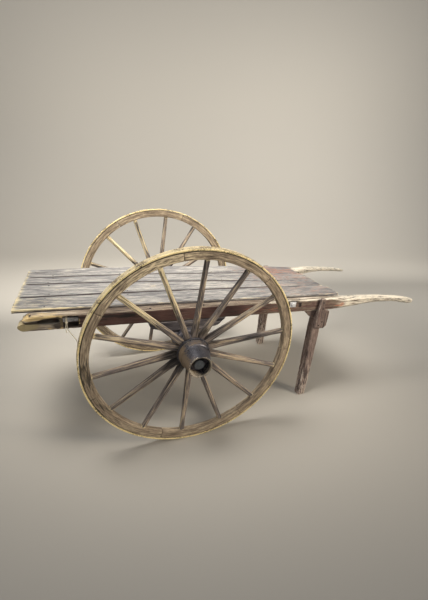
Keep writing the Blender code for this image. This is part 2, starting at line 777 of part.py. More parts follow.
def build_leg(side_name, parent):
    """A square post under the rail. Its head is flush with the rail, and its foot is level."""
    side = SIDES[side_name]
    foot_x, splay = LEGS[side_name][1:]
    top = RAIL_BOTTOM - GAP
    knee = RAIL_BOTTOM - LEG_HEAD
    head = chamfered_rectangle(LEG_TOP_WIDTH, LEG_TOP_WIDTH, LEG_HEAD_CHAMFER)
    sections = []
    for z in (top, knee):
        middle_x = leg_middle(side_name, z)
        section = []
        for u, v in head:
            x = middle_x + u
            section.append((x, side * (rail_outer(x) - LEG_TOP_WIDTH / 2.0 + v), z))
        sections.append(section)
    lower = chamfered_rectangle(LEG_FOOT_WIDTH, LEG_FOOT_WIDTH, LEG_FOOT_CHAMFER)
    foot_y = rail_outer(foot_x) - LEG_TOP_WIDTH / 2.0 + splay
    sections.append([(foot_x + u, side * (foot_y + v), foot_height(foot_x + u)) for u, v in lower])
    bm = bmesh.new()
    loft(bm, sections)
    return add_piece("leg_" + side_name, bm, "leg_oak", parent)


# Cleat that holds a leg to its rail: x from the leg's middle, height above the rail's bottom
CLEAT_OUTLINE = (
    (-0.024, RAIL_HEIGHT + 0.0085),
    (-0.034, 0.002),
    (-0.040, 0.014 - LEG_HEAD),
    (0.024, 0.002 - LEG_HEAD),
    (0.050, 0.020 - LEG_HEAD),
    (0.058, 0.001),
    (0.012, 0.020),
    (0.014, RAIL_HEIGHT + 0.0045),
)


def build_cleat(side_name, parent):
    side = SIDES[side_name]
    top_x = LEGS[side_name][0]
    bm = bmesh.new()
    outline = [(top_x + x, RAIL_BOTTOM + z) for x, z in CLEAT_OUTLINE]
    prism(bm, outline, GAP, GAP + CLEAT_THICKNESS, outside_rail(side))
    return add_piece("leg_cleat_" + side_name, bm, "leg_oak", parent)


def leg_face(side_name, z):
    """The x of the wheel side face of a leg's head at a height in the bed frame."""
    return leg_middle(side_name, z) - LEG_TOP_WIDTH / 2.0


def build_brace(side_name, parent):
    """A block under the rail, on the wheel side of the leg."""
    side = SIDES[side_name]
    top = RAIL_BOTTOM - GAP
    low = top - BRACE_DROP
    corner = leg_face(side_name, top) - GAP
    outline = [(corner - BRACE_REACH, top), (corner - BRACE_FOOT, low + BRACE_HEEL),
               (leg_face(side_name, low) - GAP, low), (corner, top)]
    middle = LEG_TOP_WIDTH / 2.0
    bm = bmesh.new()
    low_depth = middle - BRACE_THICKNESS / 2.0
    prism(bm, outline, low_depth, low_depth + BRACE_THICKNESS, inside_rail(side))
    return add_piece("leg_brace_" + side_name, bm, "leg_oak", parent)


def rail_patch(patch):
    start, end, bottom, top = patch
    low = RAIL_TOP + bottom
    high = RAIL_TOP + top
    return [(start, low), (end, low), (end, high), (start, high)]


def build_rail_irons(parent):
    """The eye plate and the staple on the left rail's outer face."""
    face = outside_rail(SIDES["left"])
    bm = bmesh.new()
    prism(bm, rail_patch(EYE_PLATE), GAP, GAP + EYE_PLATE_THICKNESS, face)
    plate = add_piece("rail_eye_plate", bm, "plate_iron", parent)
    start, end, bottom, top = EYE_PLATE
    middle_x = (start + end) / 2.0
    middle_z = RAIL_TOP + (bottom + top) / 2.0
    eye = []
    for step in range(EYE_SIDES):
        angle = 2.0 * math.pi * (step + 0.5) / EYE_SIDES
        eye.append((middle_x + EYE_RADIUS * math.cos(angle), middle_z + EYE_RADIUS * math.sin(angle)))
    bm = bmesh.new()
    prism(bm, eye, GAP + EYE_PLATE_THICKNESS / 2.0, EYE_HEIGHT, face)
    join(plate, bm, "eye_boss")
    bm = bmesh.new()
    prism(bm, rail_patch(STAPLE), GAP, GAP + STAPLE_THICKNESS, face)
    add_piece("rail_staple", bm, "plate_iron", parent)


# Twine tied round the left lashing bar: x, distance out from the rail's face, height above its top

KNOT_X = -0.668
KNOT_Z = RAIL_TOP - 0.0463
TWINE_ROUTE = (
    (-0.6653, 0.0011, -0.0546),
    (-0.6652, 0.0014, -0.0628),
    (-0.6643, 0.0024, -0.0713),
    (-0.6622, 0.0028, -0.0798),
    (-0.6590, 0.0032, -0.0888),
    (-0.6546, 0.0038, -0.0978),
    (-0.6492, 0.0040, -0.1068),
    (-0.6430, 0.0040, -0.1158),
    (-0.6365, 0.0040, -0.1258),
    (-0.6300, 0.0040, -0.1368),
    (-0.6238, 0.0040, -0.1483),
    (-0.6180, 0.0038, -0.1608),
    (-0.6133, 0.0036, -0.1738),
    (-0.6100, 0.0034, -0.1878),
    (-0.6080, 0.0032, -0.2028),
    (-0.6070, 0.0030, -0.2188),
)
TAIL_ROUTE = (
    (-0.6707, 0.0011, -0.0546),
    (-0.6708, 0.0013, -0.0583),
    (-0.6711, 0.0017, -0.0618),
    (-0.6714, 0.0021, -0.0653),
    (-0.6717, 0.0024, -0.0688),
    (-0.6719, 0.0026, -0.0723),
    (-0.6720, 0.0027, -0.0758),
    (-0.6719, 0.0028, -0.0793),
    (-0.6717, 0.0029, -0.0828),
    (-0.6713, 0.0031, -0.0863),
    (-0.6707, 0.0034, -0.0898),
    (-0.6700, 0.0037, -0.0933),
    (-0.6692, 0.0040, -0.0968),
    (-0.6684, 0.0043, -0.1003),
    (-0.6677, 0.0046, -0.1038),
)


def smooth_route(points):
    """Points at an even spacing on a smooth curve through a route's own points."""
    face = rail_outer(KNOT_X)
    points = [Vector((x, -(face + out), RAIL_TOP + z)) for x, out, z in points]
    ends = [points[0] * 2.0 - points[1]] + points + [points[-1] * 2.0 - points[-2]]
    fine = []
    for index in range(1, len(ends) - 2):
        before, start, end, after = ends[index - 1:index + 3]
        for part in range(ROUTE_PARTS):
            t = part / ROUTE_PARTS
            fine.append(0.5 * (2.0 * start + (end - before) * t
                               + (2.0 * before - 5.0 * start + 4.0 * end - after) * t * t
                               + (3.0 * start - before - 3.0 * end + after) * t * t * t))
    fine.append(points[-1])
    length = sum((b - a).length for a, b in zip(fine, fine[1:]))
    count = round(length / TWINE_STEP)
    kept = [fine[0]]
    travelled = 0.0
    for a, b in zip(fine, fine[1:]):
        travelled += (b - a).length
        if travelled >= length * len(kept) / count and len(kept) < count:
            kept.append(b)
    kept.append(fine[-1])
    return kept


def build_cord(name, route, parent):
    curve = bpy.data.curves.new(name, "CURVE")
    curve.dimensions = "3D"
    curve.bevel_depth = TWINE_DIAMETER / 2.0
    curve.bevel_resolution = 2
    curve.use_fill_caps = True
    points = smooth_route(route)
    spline = curve.splines.new("POLY")
    spline.points.add(len(points) - 1)
    for slot, point in zip(spline.points, points):
        slot.co = (*point, 1.0)
    curve.materials.append(finish_material("twine"))
    cord = bpy.data.objects.new(name, curve)
    bpy.context.scene.collection.objects.link(cord)
    cord.parent = parent
    return cord


# Rings of the knot: height as a share of its half height, radius as a share of its own
KNOT_RINGS = ((-1.0, 0.80), (-0.5, 1.0), (0.5, 1.0), (1.0, 0.70))
KNOT_SIDES = 8


def build_knot(parent):
    """The turns round the lashing bar, with the knot in front of them."""
    half_width = TWINE_DIAMETER
    bar_front = rail_outer(KNOT_X) - BAR_SET_BACK
    near = bar_front + 2.0 * GAP
    far = bar_front - BAR_DEPTH - 2.0 * GAP
    low = BAR_MIDDLE - BAR_HEIGHT / 2.0 - GAP
    high = BAR_MIDDLE + BAR_HEIGHT / 2.0 + GAP
    corners = ((near, low, 1, -1), (near, high, 1, 1), (far, high, -1, 1), (far, low, -1, -1))
    sections = []
    for out, z, step_out, step_z in corners:
        wide_out = out + step_out * TWINE_WRAP
        wide_z = z + step_z * TWINE_WRAP
        sections.append([(KNOT_X - half_width, -out, z), (KNOT_X + half_width, -out, z),
                         (KNOT_X + half_width, -wide_out, wide_z), (KNOT_X - half_width, -wide_out, wide_z)])
    bm = bmesh.new()
    loft(bm, sections, closed=True)
    knot = add_piece("twine_knot", bm, "twine", parent)
    lump = bmesh.new()
    rings = []
    for height, share in KNOT_RINGS:
        ring = []
        for step in range(KNOT_SIDES):
            angle = 2.0 * math.pi * (step + 0.5) / KNOT_SIDES
            out = near + KNOT_RADIUS + KNOT_RADIUS * share * math.sin(angle)
            x = KNOT_X + KNOT_RADIUS * share * math.cos(angle)
            ring.append((x, -out, KNOT_Z + height * KNOT_HALF_HEIGHT))
        rings.append(ring)
    loft(lump, rings)
    join(knot, lump, "knot_lump")
    return knot


def centre_over_origin(root):
    """Moves the cart so that the middle of its box stands over the origin."""
    bpy.context.view_layer.update()
    depsgraph = bpy.context.evaluated_depsgraph_get()
    low = Vector((math.inf, math.inf))
    high = Vector((-math.inf, -math.inf))
    for piece in bpy.data.objects:
        if piece.type != "MESH" or piece.hide_render:
            continue
        placed = piece.evaluated_get(depsgraph)
        for vertex in placed.data.vertices:
            point = placed.matrix_world @ vertex.co
            for axis in (0, 1):
                low[axis] = min(low[axis], point[axis])
                high[axis] = max(high[axis], point[axis])
    root.location = (-(low.x + high.x) / 2.0, -(low.y + high.y) / 2.0, 0.0)


def main():
    clear_scene()
    root = add_empty("cart_origin")
    bed = add_empty("bed_frame", root, (0.0, 0.0, FOOT_BELOW_AXLE), (0.0, BED_TILT, 0.0))
    phases = {"left": SPOKE_PHASE_LEFT, "right": SPOKE_PHASE_RIGHT}
    for side_name, side in SIDES.items():
        heading = 0.0 if side < 0 else math.pi
        turn = (math.pi / 2.0 + CAMBER, 0.0, heading)
        place = (0.0, side * TRACK / 2.0, FOOT_BELOW_AXLE)
        wheel_axis = add_empty("wheel_axis_" + side_name, root, place, turn)
        build_wheel(side_name, wheel_axis, phases[side_name])
        build_axle_arm("axle_arm_" + side_name, wheel_axis)
        build_axle_nut("axle_nut_" + side_name, wheel_axis)
        build_rail(side_name, bed)
        build_saddle(side_name, bed)
        build_lashing_bar(side_name, bed)
        build_leg(side_name, bed)
        build_cleat(side_name, bed)
        build_brace(side_name, bed)
    build_axle_beam(bed)
    for name, x in CROSS_MEMBERS:
        build_cross_member(name, x, bed)
    for index in range(len(BOARD_ENDS)):
        build_board(index, bed)
    build_rail_irons(bed)
    build_knot(bed)
    build_cord("twine", TWINE_ROUTE, bed)
    build_cord("twine_tail", TAIL_ROUTE, bed)
    centre_over_origin(root)


main()
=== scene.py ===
"""A weathered two-wheeled wooden hand cart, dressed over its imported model.

Metres throughout. +X runs from the tail to the handles, +Y to the cart's right, +Z up. The bed is
drawn in its own frame, whose origin is the middle of the axle and which is tilted about it.
"""

import logging
import math
from dataclasses import dataclass
from enum import Enum
from typing import Optional, Sequence, Union

import bpy
import numpy as np
from mathutils import Euler, Matrix, Vector, noise


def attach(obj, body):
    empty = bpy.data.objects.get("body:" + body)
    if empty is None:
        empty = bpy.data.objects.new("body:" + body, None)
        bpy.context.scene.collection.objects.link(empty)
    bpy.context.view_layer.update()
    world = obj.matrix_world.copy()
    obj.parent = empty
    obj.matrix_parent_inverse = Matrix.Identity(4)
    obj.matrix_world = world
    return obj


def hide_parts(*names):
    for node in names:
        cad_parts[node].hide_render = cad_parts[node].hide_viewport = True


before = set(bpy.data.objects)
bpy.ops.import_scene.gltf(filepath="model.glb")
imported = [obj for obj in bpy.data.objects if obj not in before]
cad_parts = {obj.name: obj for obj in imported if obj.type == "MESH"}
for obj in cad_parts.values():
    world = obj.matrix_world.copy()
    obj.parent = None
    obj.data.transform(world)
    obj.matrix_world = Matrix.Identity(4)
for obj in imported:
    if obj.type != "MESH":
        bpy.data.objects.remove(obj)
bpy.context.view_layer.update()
LOG = logging.getLogger("cart")

BED = "bed"
AXLE_MIDDLE = Vector((-0.406426, 0.0, 0.619093))
BED_TILT = math.radians(4.574)
CAMBER = math.radians(3.1)
HALF_TRACK = 0.5705
SPOKE_COUNT = 14
FELLOE_COUNT = 7
SPOKE_DISH = 0.028
BOARD_COUNT = 4
RAIL_FACE = 0.3826
RAIL_SPREAD = 0.0156

Triple = tuple[float, float, float]
Stops = Sequence[tuple[float, Triple]]


class Side(Enum):
    """A side of the cart, seen from the tail; its value is the sign of Y."""

    LEFT = -1
    RIGHT = 1

    @property
    def label(self) -> str:
        """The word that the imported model's names end with."""
        return self.name.lower()

    @property
    def wheel(self) -> str:
        """The body that this side's wheel turns with."""
        return "wheel_" + self.label


def bed_matrix() -> Matrix:
    """The bed's frame in the world."""
    return Matrix.Translation(AXLE_MIDDLE) @ Matrix.Rotation(BED_TILT, 4, "Y")


def wheel_matrix(side: Side, phase: float = 0.0) -> Matrix:
    """A wheel's frame: the rim plane at z = 0, and the axle arm running out along z.

    Args:
        side: which wheel.
        phase: how far its first spoke is turned, in radians.

    Returns:
        The frame as a 4x4 matrix.
    """
    place = AXLE_MIDDLE + Vector((0.0, side.value * HALF_TRACK, 0.0))
    heading = 0.0 if side is Side.LEFT else math.pi
    turn = Euler((math.pi / 2.0 + CAMBER, 0.0, heading)).to_matrix().to_4x4()
    return Matrix.Translation(place) @ turn @ Matrix.Rotation(phase, 4, "Z")


def rail_face(x: float) -> float:
    """How far a rail's outer face lies from the bed's middle, at a place along it."""
    return RAIL_FACE - RAIL_SPREAD * x


def bed_nail(
    place: Sequence[float], facing: Sequence[float] = (0.0, 0.0, 1.0)
) -> tuple[Vector, Vector]:
    """A nail's place and facing in the world, from those in the bed's frame."""
    matrix = bed_matrix()
    return matrix @ Vector(place), (matrix.to_3x3() @ Vector(facing)).normalized()


def tone(red: int, green: int, blue: int) -> Triple:
    """A screen colour, 0 to 255, as the linear colour that shaders use."""
    parts = [channel / 255.0 for channel in (red, green, blue)]
    return tuple(c / 12.92 if c <= 0.04045 else ((c + 0.055) / 1.055) ** 2.4 for c in parts)


def eased(value: Union[float, np.ndarray], low: float, high: float) -> Union[float, np.ndarray]:
    """A smooth step from 0 at low to 1 at high."""
    share = np.clip((value - low) / (high - low), 0.0, 1.0)
    return share * share * (3.0 - 2.0 * share)


def pointing(angle: float) -> Triple:
    """The direction at an angle about z."""
    return math.cos(angle), math.sin(angle), 0.0


def peak(value: np.ndarray, middle: float, spread: float) -> np.ndarray:
    """1 at the middle, falling off smoothly to 0 on both sides of it."""
    return np.exp(-(((value - middle) / spread) ** 2))


# Node trees


class NodeWork:
    """Adds nodes to a tree by type, settings and sockets."""

    def __init__(self, tree: bpy.types.NodeTree) -> None:
        """Takes the tree that is worked on."""
        self.tree = tree

    def node(
        self, kind: str, settings: Optional[dict] = None, sockets: Optional[dict] = None
    ) -> bpy.types.Node:
        """Adds one node.

        Args:
            kind: the node's type.
            settings: its own settings, set first. "stops" fills a colour ramp.
            sockets: the value or link of each input, by name or index.

        Returns:
            The new node.
        """
        made = self.tree.nodes.new(kind)
        for name, value in (settings or {}).items():
            if name == "stops":
                self._fill_ramp(made.color_ramp, value)
            else:
                setattr(made, name, value)
        for key, value in (sockets or {}).items():
            self._feed(made.inputs[key], value)
        return made

    def _feed(self, socket: bpy.types.NodeSocket, value: object) -> None:
        """Links a socket to another one, or sets its value.

        Args:
            socket: the input.
            value: what it gets: a socket, a level, a colour or a plain value.
        """
        source = value.socket if isinstance(value, Level) else value
        if isinstance(source, bpy.types.NodeSocket):
            self.tree.links.new(source, socket)
        elif socket.type == "RGBA" and len(source) == 3:
            socket.default_value = (*source, 1.0)
        else:
            socket.default_value = source

    @staticmethod
    def _fill_ramp(ramp: bpy.types.ColorRamp, stops: Stops) -> None:
        """Gives a colour ramp its stops.

        Args:
            ramp: the ramp.
            stops: the place and the colour of each stop.
        """
        while len(ramp.elements) < len(stops):
            ramp.elements.new(1.0)
        for element, (place, colour) in zip(ramp.elements, stops):
            element.position = place
            element.color = (*colour, 1.0)


class Level:
    """One number that varies over a surface. Python's operators on it add Math nodes."""

    def __init__(self, work: NodeWork, socket: bpy.types.NodeSocket) -> None:
        """Wraps an output socket."""
        self.work = work
        self.socket = socket

    def _math(self, operation: str, first: object, second: object = 0.0) -> "Level":
        """Adds a Math node and wraps its result."""
        made = self.work.node("ShaderNodeMath", {"operation": operation}, {0: first, 1: second})
        return Level(self.work, made.outputs[0])

    def __add__(self, other: object) -> "Level":
        """self + other."""
        return self._math("ADD", self, other)

    def __radd__(self, other: object) -> "Level":
        """other + self."""
        return self._math("ADD", other, self)

    def __sub__(self, other: object) -> "Level":
        """self - other."""
        return self._math("SUBTRACT", self, other)

    def __rsub__(self, other: object) -> "Level":
        """other - self."""
        return self._math("SUBTRACT", other, self)

    def __mul__(self, other: object) -> "Level":
        """self * other."""
        return self._math("MULTIPLY", self, other)

    def __rmul__(self, other: object) -> "Level":
        """other * self."""
        return self._math("MULTIPLY", other, self)

    def __abs__(self) -> "Level":
        """The size of self, without its sign."""
        return self._math("ABSOLUTE", self)

    def step(self, low: float, high: float) -> "Level":
        """A smooth step from 0 at low to 1 at high; low may be the larger.

        Args:
            low: where the step starts.
            high: where it ends.

        Returns:
            The stepped level.
        """
        made = self.work.node(
            "ShaderNodeMapRange",
            {"interpolation_type": "SMOOTHSTEP"},
            {"Value": self, "From Min": low, "From Max": high},
        )
        return Level(self.work, made.outputs["Result"])


class Surface(NodeWork):
    """A material being made. Its patterns follow each piece's own grain attribute."""

    def __init__(self, name: str) -> None:
        """Starts a material with a principled shader.

        Args:
            name: the material's name.
        """
        self.material = bpy.data.materials.new(name)
        self.material.use_nodes = True
        super().__init__(self.material.node_tree)
        self.shader = self.tree.nodes["Principled BSDF"]
        self.grain = self.node("ShaderNodeAttribute", {"attribute_name": "grain"}).outputs["Vector"]

    def spot(self, name: str) -> Level:
        """A number that the mesh holds for each of its points."""
        made = self.node("ShaderNodeAttribute", {"attribute_name": name})
        return Level(self, made.outputs["Fac"])

    def pattern(self, along: float, across: float, detail: float, shift: float = 0.0) -> Level:
        """Noise drawn out along the grain.

        Args:
            along: how often it changes in a metre along the grain.
            across: how often it changes in a metre across the grain.
            detail: octaves of finer noise.
            shift: moves the pattern, so that two patterns differ.

        Returns:
            The noise, about 0.5 on the average.
        """
        mapped = self.node(
            "ShaderNodeMapping",
            None,
            {"Vector": self.grain, "Location": (shift, shift, shift), "Scale": (along, across, across)},
        )
        made = self.node(
            "ShaderNodeTexNoise",
            None,
            {"Vector": mapped.outputs["Vector"], "Scale": 1.0, "Detail": detail, "Roughness": 0.6},
        )
        return Level(self, made.outputs[0])

    def ramp(self, level: Level, stops: Stops) -> bpy.types.NodeSocket:
        """Colours a level by the stops of a ramp."""
        return self.node("ShaderNodeValToRGB", {"stops": stops}, {0: level}).outputs["Color"]

    def mixed(self, share: Level, first: object, second: object) -> bpy.types.NodeSocket:
        """The first colour where share is 0, and the second where it is 1."""
        made = self.node("ShaderNodeMix", {"data_type": "RGBA"}, {0: share, 6: first, 7: second})
        return made.outputs[2]

    def finish(
        self, colour: object, roughness: object, metallic: object, height: Level, depth: float
    ) -> bpy.types.Material:
        """Feeds the shader.

        Args:
            colour: the base colour.
            roughness: the roughness.
            metallic: the metallic share.
            height: the relief, from 0 to about 1.
            depth: how deep the relief is, in metres.

        Returns:
            The finished material.
        """
        bump = self.node("ShaderNodeBump", None, {"Strength": 0.8, "Distance": depth, "Height": height})
        feeds = {"Base Color": colour, "Roughness": roughness, "Metallic": metallic}
        feeds["Normal"] = bump.outputs[0]
        for key, value in feeds.items():
            self._feed(self.shader.inputs[key], value)
        return self.material


@dataclass(frozen=True)
class TimberFinish:
    """Old timber: streaked grain, open cracks, bleached edges, and what is left of its paint.

    A piece's attributes say where it is worn, and where highlight and shade are painted on:
    edge, bleach, raw, paint, rust_red, tar and moss.
    """

    name: str
    dark: Triple
    middle: Triple
    light: Triple
    # The bleached colour also shows painted highlight.
    bleached: Triple
    paint: Triple = tone(84, 40, 34)
    reddened: Triple = tone(190, 112, 76)
    cracked_and_shaded: Triple = tone(30, 25, 22)
    mossed: Triple = tone(180, 162, 118)
    newly_split: Triple = tone(236, 204, 142)
    streak: float = 40.0
    run: float = 2.2
    contrast: float = 2.4
    edge_wear: float = 0.9
    crack_share: float = 0.55
    relief: float = 0.0022
    smoothest: float = 0.74

    def build(self) -> bpy.types.Material:
        """Makes the material.

        Returns:
            The material.
        """
        face = Surface(self.name)
        broad = face.pattern(self.run, self.streak, 6.0)
        fibre = face.pattern(self.run * 3.0, self.streak * 3.0, 4.0, 3.0)
        blotch = face.pattern(4.0, 9.0, 4.0, 7.0)
        level = (broad * 0.50 + fibre * 0.32 + blotch * 0.18 - 0.5) * self.contrast + 0.5
        colour = face.ramp(level, ((0.18, self.dark), (0.50, self.middle), (0.80, self.light)))
        # This mask holds bleaching and also painted highlight, both drawn in the bleached colour.
        bare = face.spot("edge") * self.edge_wear + face.spot("bleach")
        bare = (bare + (fibre - 0.5) * 1.5 + (broad - 0.5) * 1.1).step(0.42, 0.86)
        colour = face.mixed(bare, colour, self.bleached)
        raw = (face.spot("raw") + (blotch - 0.5) * 1.6 + (fibre - 0.5) * 1.6).step(0.35, 0.75)
        colour = face.mixed(raw * 0.9, colour, self.newly_split)
        painted = face.spot("paint") - face.spot("edge") * 0.45 + (broad - 0.5) * 1.9 + (fibre - 0.5) * 1.4
        painted = painted.step(0.42, 0.60)
        colour = face.mixed(painted * 0.92, colour, self.paint)
        patches = 1.0 + (blotch - 0.5) * 3.0 + (fibre - 0.5) * 2.6
        red = (face.spot("rust_red") * patches).step(0.30, 0.75)
        colour = face.mixed(red * 0.8, colour, self.reddened)
        moss = (face.spot("moss") + (blotch - 0.5) * 1.6 + (fibre - 0.5)).step(0.40, 0.75)
        colour = face.mixed(moss * 0.85, colour, self.mossed)
        # This mask holds tar and dirt and also painted shade, all drawn in the dark colour.
        tar = (face.spot("tar") + (blotch - 0.5) * 1.5 + (broad - 0.5) * 1.5).step(0.45, 0.72)
        colour = face.mixed(tar * 0.88, colour, self.cracked_and_shaded)
        line = abs(face.pattern(1.0, self.streak * 0.9, 2.0, 11.0) - 0.5).step(0.030, 0.004)
        gate = face.pattern(0.9, 8.0, 1.0, 17.0).step(1.0 - self.crack_share, 1.12 - self.crack_share)
        crack = line * gate
        colour = face.mixed(crack * 0.85, colour, self.cracked_and_shaded)
        height = broad * 0.35 + fibre * 0.65 - crack * 1.1
        roughness = self.smoothest + fibre * (1.0 - self.smoothest)
        return face.finish(colour, roughness, 0.0, height, self.relief)


@dataclass(frozen=True)
class IronFinish:
    """Old iron: dark bare metal, rust or dust in patches, and bright worn edges."""

    name: str
    dark: Triple
    light: Triple
    dusted: Triple
    worn: Triple
    dust: float = 0.5
    metallic: float = 0.6
    roughness: float = 0.5
    edge_wear: float = 1.0
    relief: float = 0.0012

    def build(self) -> bpy.types.Material:
        """Makes the material.

        Returns:
            The material.
        """
        face = Surface(self.name)
        cloud = face.pattern(16.0, 16.0, 5.0)
        grit = face.pattern(160.0, 160.0, 4.0, 5.0)
        colour = face.ramp((cloud + grit) * 0.5, ((0.36, self.dark), (0.64, self.light)))
        dusted = (cloud * 0.9 + grit * 0.7 + face.spot("dust")).step(1.28 - self.dust, 1.52 - self.dust)
        colour = face.mixed(dusted, colour, self.dusted)
        worn = face.spot("edge") * self.edge_wear + (grit - 0.5) * 1.4 + (cloud - 0.5) * 1.2
        worn = worn.step(0.45, 0.80)
        colour = face.mixed(worn, colour, self.worn)
        roughness = self.roughness + dusted * 0.30 + (grit - 0.5) * 0.25
        metallic = self.metallic * (1.0 - dusted)
        return face.finish(colour, roughness, metallic, grit * 0.6 + cloud * 0.4, self.relief)


class Finish(Enum):
    """The finishes of the cart, each made once."""

    BOARD = TimberFinish(
        "worn_board", tone(66, 64, 66), tone(134, 131, 128), tone(202, 195, 181), tone(232, 214, 170),
        paint=tone(156, 112, 92), cracked_and_shaded=tone(62, 52, 50), streak=110.0, run=8.0, contrast=2.6,
        crack_share=0.45,
    )
    RAIL = TimberFinish(
        "worn_rail", tone(52, 44, 38), tone(134, 116, 98), tone(206, 190, 166), tone(226, 216, 196),
        paint=tone(80, 50, 45), streak=80.0, run=5.0, contrast=2.9, edge_wear=0.75,
    )
    DARK = TimberFinish(
        "worn_dark", tone(42, 39, 41), tone(86, 80, 82), tone(140, 132, 128), tone(160, 150, 142),
        contrast=2.8, streak=70.0, run=4.0, edge_wear=0.55,
    )
    LEG = TimberFinish(
        "worn_leg", tone(58, 46, 42), tone(126, 107, 97), tone(184, 166, 150), tone(216, 201, 184),
        paint=tone(96, 72, 68), streak=80.0, run=5.0, contrast=3.2, edge_wear=0.75,
    )
    WHEEL = TimberFinish(
        "worn_rim", tone(62, 51, 41), tone(146, 128, 105), tone(208, 189, 158), tone(238, 218, 178),
        streak=95.0, run=9.0, contrast=2.3, edge_wear=0.60, crack_share=0.40,
    )
    SPOKE = TimberFinish(
        "worn_spoke", tone(46, 43, 44), tone(112, 102, 95), tone(196, 174, 144), tone(240, 220, 174),
        streak=90.0, run=4.0, contrast=3.2, edge_wear=0.85, crack_share=0.5,
    )
    HUB = IronFinish(
        "worn_hub", tone(42, 42, 47), tone(112, 110, 115), tone(112, 94, 72), tone(176, 164, 144),
        dust=0.42, metallic=0.7, roughness=0.42, edge_wear=0.75,
    )
    DULL = IronFinish(
        "worn_dull", tone(62, 65, 68), tone(92, 96, 98), tone(84, 82, 76), tone(120, 120, 116),
        dust=0.35, metallic=0.3, roughness=0.55,
    )
    BAR = IronFinish(
        "worn_bar", tone(104, 100, 98), tone(172, 170, 168), tone(150, 128, 108), tone(220, 218, 212),
        dust=0.40, metallic=0.2, roughness=0.6,
    )
    TYRE = IronFinish(
        "worn_tyre", tone(84, 70, 54), tone(152, 132, 102), tone(206, 188, 150), tone(244, 222, 164),
        dust=0.50, metallic=0.2, roughness=0.62,
    )
    PLATE = IronFinish(
        "worn_plate", tone(170, 170, 172), tone(222, 222, 222), tone(226, 224, 220), tone(234, 233, 230),
        dust=0.56, metallic=0.1, roughness=0.6,
    )
    NAIL = IronFinish(
        "worn_nail", tone(34, 30, 29), tone(70, 58, 52), tone(104, 80, 62), tone(130, 120, 112),
        dust=0.45, metallic=0.4, roughness=0.6,
    )
    TWINE = TimberFinish(
        "worn_twine", tone(160, 146, 118), tone(208, 196, 170), tone(236, 228, 208), tone(244, 238, 222),
        streak=500.0, contrast=1.6, crack_share=0.0,
    )

    @property
    def material(self) -> bpy.types.Material:
        """The finish's material, built the first time that it is asked for."""
        return bpy.data.materials.get(self.value.name) or self.value.build()


# Meshes


def points_of(mesh: bpy.types.Mesh) -> np.ndarray:
    """A mesh's points, one row each.

    Args:
        mesh: the mesh.

    Returns:
        A table with a row for each point.
    """
    values = np.empty(len(mesh.vertices) * 3)
    mesh.vertices.foreach_get("co", values)
    return values.reshape(-1, 3)


def set_points(mesh: bpy.types.Mesh, points: np.ndarray) -> None:
    """Moves a mesh's points."""
    mesh.vertices.foreach_set("co", points.ravel())
    mesh.update()


def normals_of(mesh: bpy.types.Mesh) -> np.ndarray:
    """A mesh's point normals, one row each.

    Args:
        mesh: the mesh.

    Returns:
        A table with a row for each point.
    """
    values = np.empty(len(mesh.vertices) * 3)
    mesh.vertex_normals.foreach_get("vector", values)
    return values.reshape(-1, 3)


def placed(points: np.ndarray, matrix: Matrix) -> np.ndarray:
    """Points taken through a 4x4 matrix."""
    table = np.array(matrix)
    return points @ table[:3, :3].T + table[:3, 3]


def store(mesh: bpy.types.Mesh, name: str, values: np.ndarray) -> None:
    """Keeps a number or a vector for each point under a name.

    Args:
        mesh: the mesh.
        name: the attribute's name.
        values: one number or one row of three for each point.
    """
    vector = values.ndim == 2
    kind = "FLOAT_VECTOR" if vector else "FLOAT"
    layer = mesh.attributes.get(name) or mesh.attributes.new(name, kind, "POINT")
    layer.data.foreach_set("vector" if vector else "value", np.ascontiguousarray(values, float).ravel())


def stored(mesh: bpy.types.Mesh, name: str) -> np.ndarray:
    """The numbers or vectors that a mesh keeps under a name.

    Args:
        mesh: the mesh.
        name: the attribute's name.

    Returns:
        One number or one row of three for each point.
    """
    layer = mesh.attributes[name]
    vector = layer.data_type == "FLOAT_VECTOR"
    values = np.empty(len(mesh.vertices) * (3 if vector else 1))
    layer.data.foreach_get("vector" if vector else "value", values)
    return values.reshape(-1, 3) if vector else values


def unevenness(places: np.ndarray, along: float, across: float, seed: float) -> np.ndarray:
    """Noise from 0 to 1 at places in grain space.

    Args:
        places: rows of distance along the grain, then across it twice.
        along: size of the bumps along the grain, in metres.
        across: their size across it.
        seed: moves the noise.

    Returns:
        One value for each row.
    """
    scaled = places / (along, across, across) + seed
    return np.array([noise.noise(place) for place in scaled.tolist()]) * 0.5 + 0.5


def edge_ends(mesh: bpy.types.Mesh) -> np.ndarray:
    """The points that each edge of a mesh joins.

    Args:
        mesh: the mesh.

    Returns:
        Two rows: the index of each edge's first point, and of its second.
    """
    edges = np.empty(len(mesh.edges) * 2, int)
    mesh.edges.foreach_get("vertices", edges)
    return edges.reshape(-1, 2).T


def softened(mesh: bpy.types.Mesh, values: np.ndarray) -> np.ndarray:
    """Values averaged with those of their neighbours.

    Args:
        mesh: the mesh that the values belong to.
        values: one for each point.

    Returns:
        The softened values.
    """
    first, second = edge_ends(mesh)
    size = len(values)
    count = np.bincount(first, minlength=size) + np.bincount(second, minlength=size) + 1.0
    total = values + np.bincount(first, values[second], size)
    total += np.bincount(second, values[first], size)
    return total / count


def ridges(mesh: bpy.types.Mesh) -> np.ndarray:
    """How far each point stands on a worn outer edge, from 0 to 1.

    Args:
        mesh: the mesh.

    Returns:
        One value for each point.
    """
    points = points_of(mesh)
    first, second = edge_ends(mesh)
    step = points[second] - points[first]
    length = np.linalg.norm(step, axis=1)
    pull = np.zeros_like(points)
    for axis in range(3):
        pull[:, axis] += np.bincount(first, step[:, axis], len(points))
        pull[:, axis] -= np.bincount(second, step[:, axis], len(points))
    total = np.bincount(first, length, len(points)) + np.bincount(second, length, len(points))
    bend = -(pull * normals_of(mesh)).sum(1) / np.maximum(total, 1e-9)
    return softened(mesh, np.clip((bend - 0.03) * 7.0, 0.0, 1.0))


